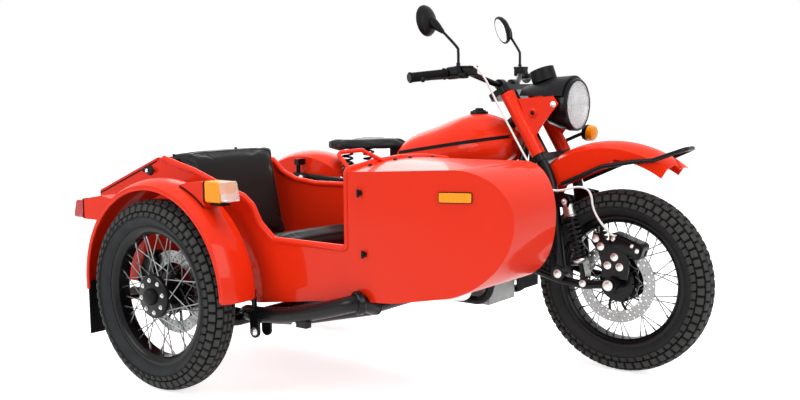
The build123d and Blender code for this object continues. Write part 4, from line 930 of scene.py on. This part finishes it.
# Hub cap bolts on the outer side of each wheel.
for name, wheel in wheels.items():
    out = -wheel["discSide"]
    spots = [np.array(wheel["centre"]) + atAngle(math.radians(45 * k + 10), 56) + [0, out * 46, 0]
             for k in range(8)]
    heads = [hexBolt(spot, (0, out, 0), 5.5, 6.0) for spot in spots]
    addPiece(name + "HubBolts", heads, steel, wheel["body"])

# Bosses in the lamp ears, each with a dark screw in its cup.
bossOutline = [(-3, 9), (-3, 18), (3, 17.5), (4.5, 15), (4.5, 10), (-3, 9)]
bosses = [revolved(bossOutline, (1181, side * 108, 938), (0, side, 0), 40) for side in (-1, 1)]
addPiece("earBosses", bosses, paint, "steering")
heads = [hexBolt((1181, side * 108.4, 938), (0, side, 0), 5.5, 3.6) for side in (-1, 1)]
addPiece("earScrews", heads, blackMetal, "steering")

# Studs along the rear edge of the nose deck.
deckY = (-910, -783, -702, -575)
deckStud = [(-2, 0), (-2, 7), (3, 7), (5, 5), (6, 0)]
seats = onSurface(nodes["tub_nose"], [(1060, y, 900) for y in deckY], (0, 0, -1))
studs = [revolved(deckStud, spot, (0, 0, 1), 16) for spot in seats]
addPiece("deckStuds", studs, blackPlastic, "chassis")

# Gaskets where the lamp housings meet the sidecar fender, on both sides of each.
seams = [swept(fenderArc(385.4, y, low, high, 24), 2.4, 8)
         for low, high in ((18.5, 38.6), (-55.6, -39.6)) for y in (-1150.6, -1089.4)]
addPiece("housingGaskets", seams, rubber, "chassis")
print("trim done")

# Brake hose: smooth spline whose control points are the route of the CAD tube.
hoseRoute = [(975.2, -205, 1112), (1010, -205, 1112), (1060, -150, 960),
             (1232, -132, 668), (1300, -130, 654), (1385, -130, 682),
             (1432, -129, 664), (1438, -128, 590), (1508, -118, 505),
             (1508, -87.9, 505)]
hoseCurve = bpy.data.curves.new("brakeHose", "CURVE")
hoseCurve.dimensions = "3D"
hoseLine = hoseCurve.splines.new("NURBS")
hoseLine.points.add(len(hoseRoute) - 1)
for point, spot in zip(hoseLine.points, toFrame(hoseRoute)):
    point.co = (*spot, 1.0)
hoseLine.order_u = 3
hoseLine.use_endpoint_u = True
hoseLine.resolution_u = 16
hoseCurve.bevel_depth = 0.004
hoseCurve.bevel_resolution = 4
hoseCurve.use_fill_caps = True
hoseCurve.materials.append(whiteHose)
hose = linked("brakeHose", hoseCurve)
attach(hose, "steering")
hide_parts("hoses")


def seenMix(tree, fallen, seen):
    # The seen grey for rays that show the background to the eye, a mirror or a glass, else the fallen one.
    path = addNode(tree, "LightPath")
    last = path.outputs["Is Camera Ray"]
    for kind in ("Is Glossy Ray", "Is Transmission Ray"):
        larger = addNode(tree, "Math")
        larger.operation = "MAXIMUM"
        tree.links.new(last, larger.inputs[0])
        tree.links.new(path.outputs[kind], larger.inputs[1])
        last = larger.outputs["Value"]
    mix = addNode(tree, "MixRGB", Color1=(*fallen, 1.0), Color2=(*seen, 1.0))
    tree.links.new(last, mix.inputs["Fac"])
    return mix.outputs["Color"]


# Floor, light and camera.
floorMesh = bpy.data.meshes.new("floor")
floorMesh.from_pydata([(-40, -40, 0), (40, -40, 0), (40, 40, 0), (-40, 40, 0)], [], [(0, 1, 2, 3)])
floor = linked("floor", floorMesh)
floorLook, floorTree, floorShader = newMaterial("paleFloor")
setSockets(floorShader, Base_Color=(0.90, 0.90, 0.90, 1.0), Roughness=0.45, Specular_IOR_Level=0.25,
           Emission_Strength=1.0)
floorGlow = seenMix(floorTree, (0.0, 0.0, 0.0), (0.72, 0.72, 0.72))
floorTree.links.new(floorGlow, floorShader.inputs["Emission Color"])
floorMesh.materials.append(floorLook)

world = bpy.data.worlds.new("studio")
bpy.context.scene.world = world
world.use_nodes = True
sky = world.node_tree
sky.nodes.clear()
skyOut, skyLight = addNode(sky, "OutputWorld"), addNode(sky, "Background")
sky.links.new(seenMix(sky, (0.36, 0.365, 0.375), (1.0, 1.0, 1.0)), skyLight.inputs["Color"])
sky.links.new(skyLight.outputs["Background"], skyOut.inputs["Surface"])


def aim(thing, place, side, top, away):
    turn = np.eye(4)
    turn[:3, 0], turn[:3, 1], turn[:3, 2], turn[:3, 3] = side, top, away, toFrame(place)
    thing.matrix_world = Matrix(turn.tolist())


# Softboxes: place, target, size, power in watts.
softboxes = [
    ("topLight", (500, -600, 3600), (600, -400, 400), (3.6, 2.6), 130),
    ("frontLight", (4200, -1400, 2400), (900, -400, 500), (2.0, 2.4), 55),
    ("sideLight", (-900, -4600, 2600), (500, -600, 500), (2.6, 2.2), 80),
    ("backLight", (-2400, 2600, 2600), (600, -200, 600), (2.4, 2.4), 40),
]
for name, place, target, size, power in softboxes:
    light = bpy.data.lights.new(name, "AREA")
    light.shape = "RECTANGLE"
    light.size, light.size_y = size
    light.energy = power
    lamp = linked(name, light)
    lamp.visible_glossy = name != "topLight"
    away = toFrame(place) - toFrame(target)
    away /= np.linalg.norm(away)
    side = np.cross([0, 0, 1], away)
    side /= np.linalg.norm(side)
    aim(lamp, place, side, np.cross(away, side), away)

# Camera fitted to the photograph: turn about Z, down and over, focal length over the picture's width.
yaw, pitch, roll = math.radians(37.52), math.radians(6.5), math.radians(-0.51)
forward = np.array([-math.sin(yaw) * math.cos(pitch), math.cos(yaw) * math.cos(pitch), -math.sin(pitch)])
rightward = np.array([math.cos(yaw), math.sin(yaw), 0.0])
upward = np.cross(rightward, forward)
turnedRight = math.cos(roll) * rightward + math.sin(roll) * upward
turnedUp = -math.sin(roll) * rightward + math.cos(roll) * upward
cameraData = bpy.data.cameras.new("camera")
cameraData.sensor_width = 36
cameraData.lens = 969.4 / 800 * 36
cameraData.clip_end = 200
camera = linked("camera", cameraData)
aim(camera, (2973.2, -3249.8, 1027.7), turnedRight, turnedUp, -forward)
bpy.context.scene.camera = camera
bpy.context.scene.view_settings.view_transform = "Standard"
print("stage set")
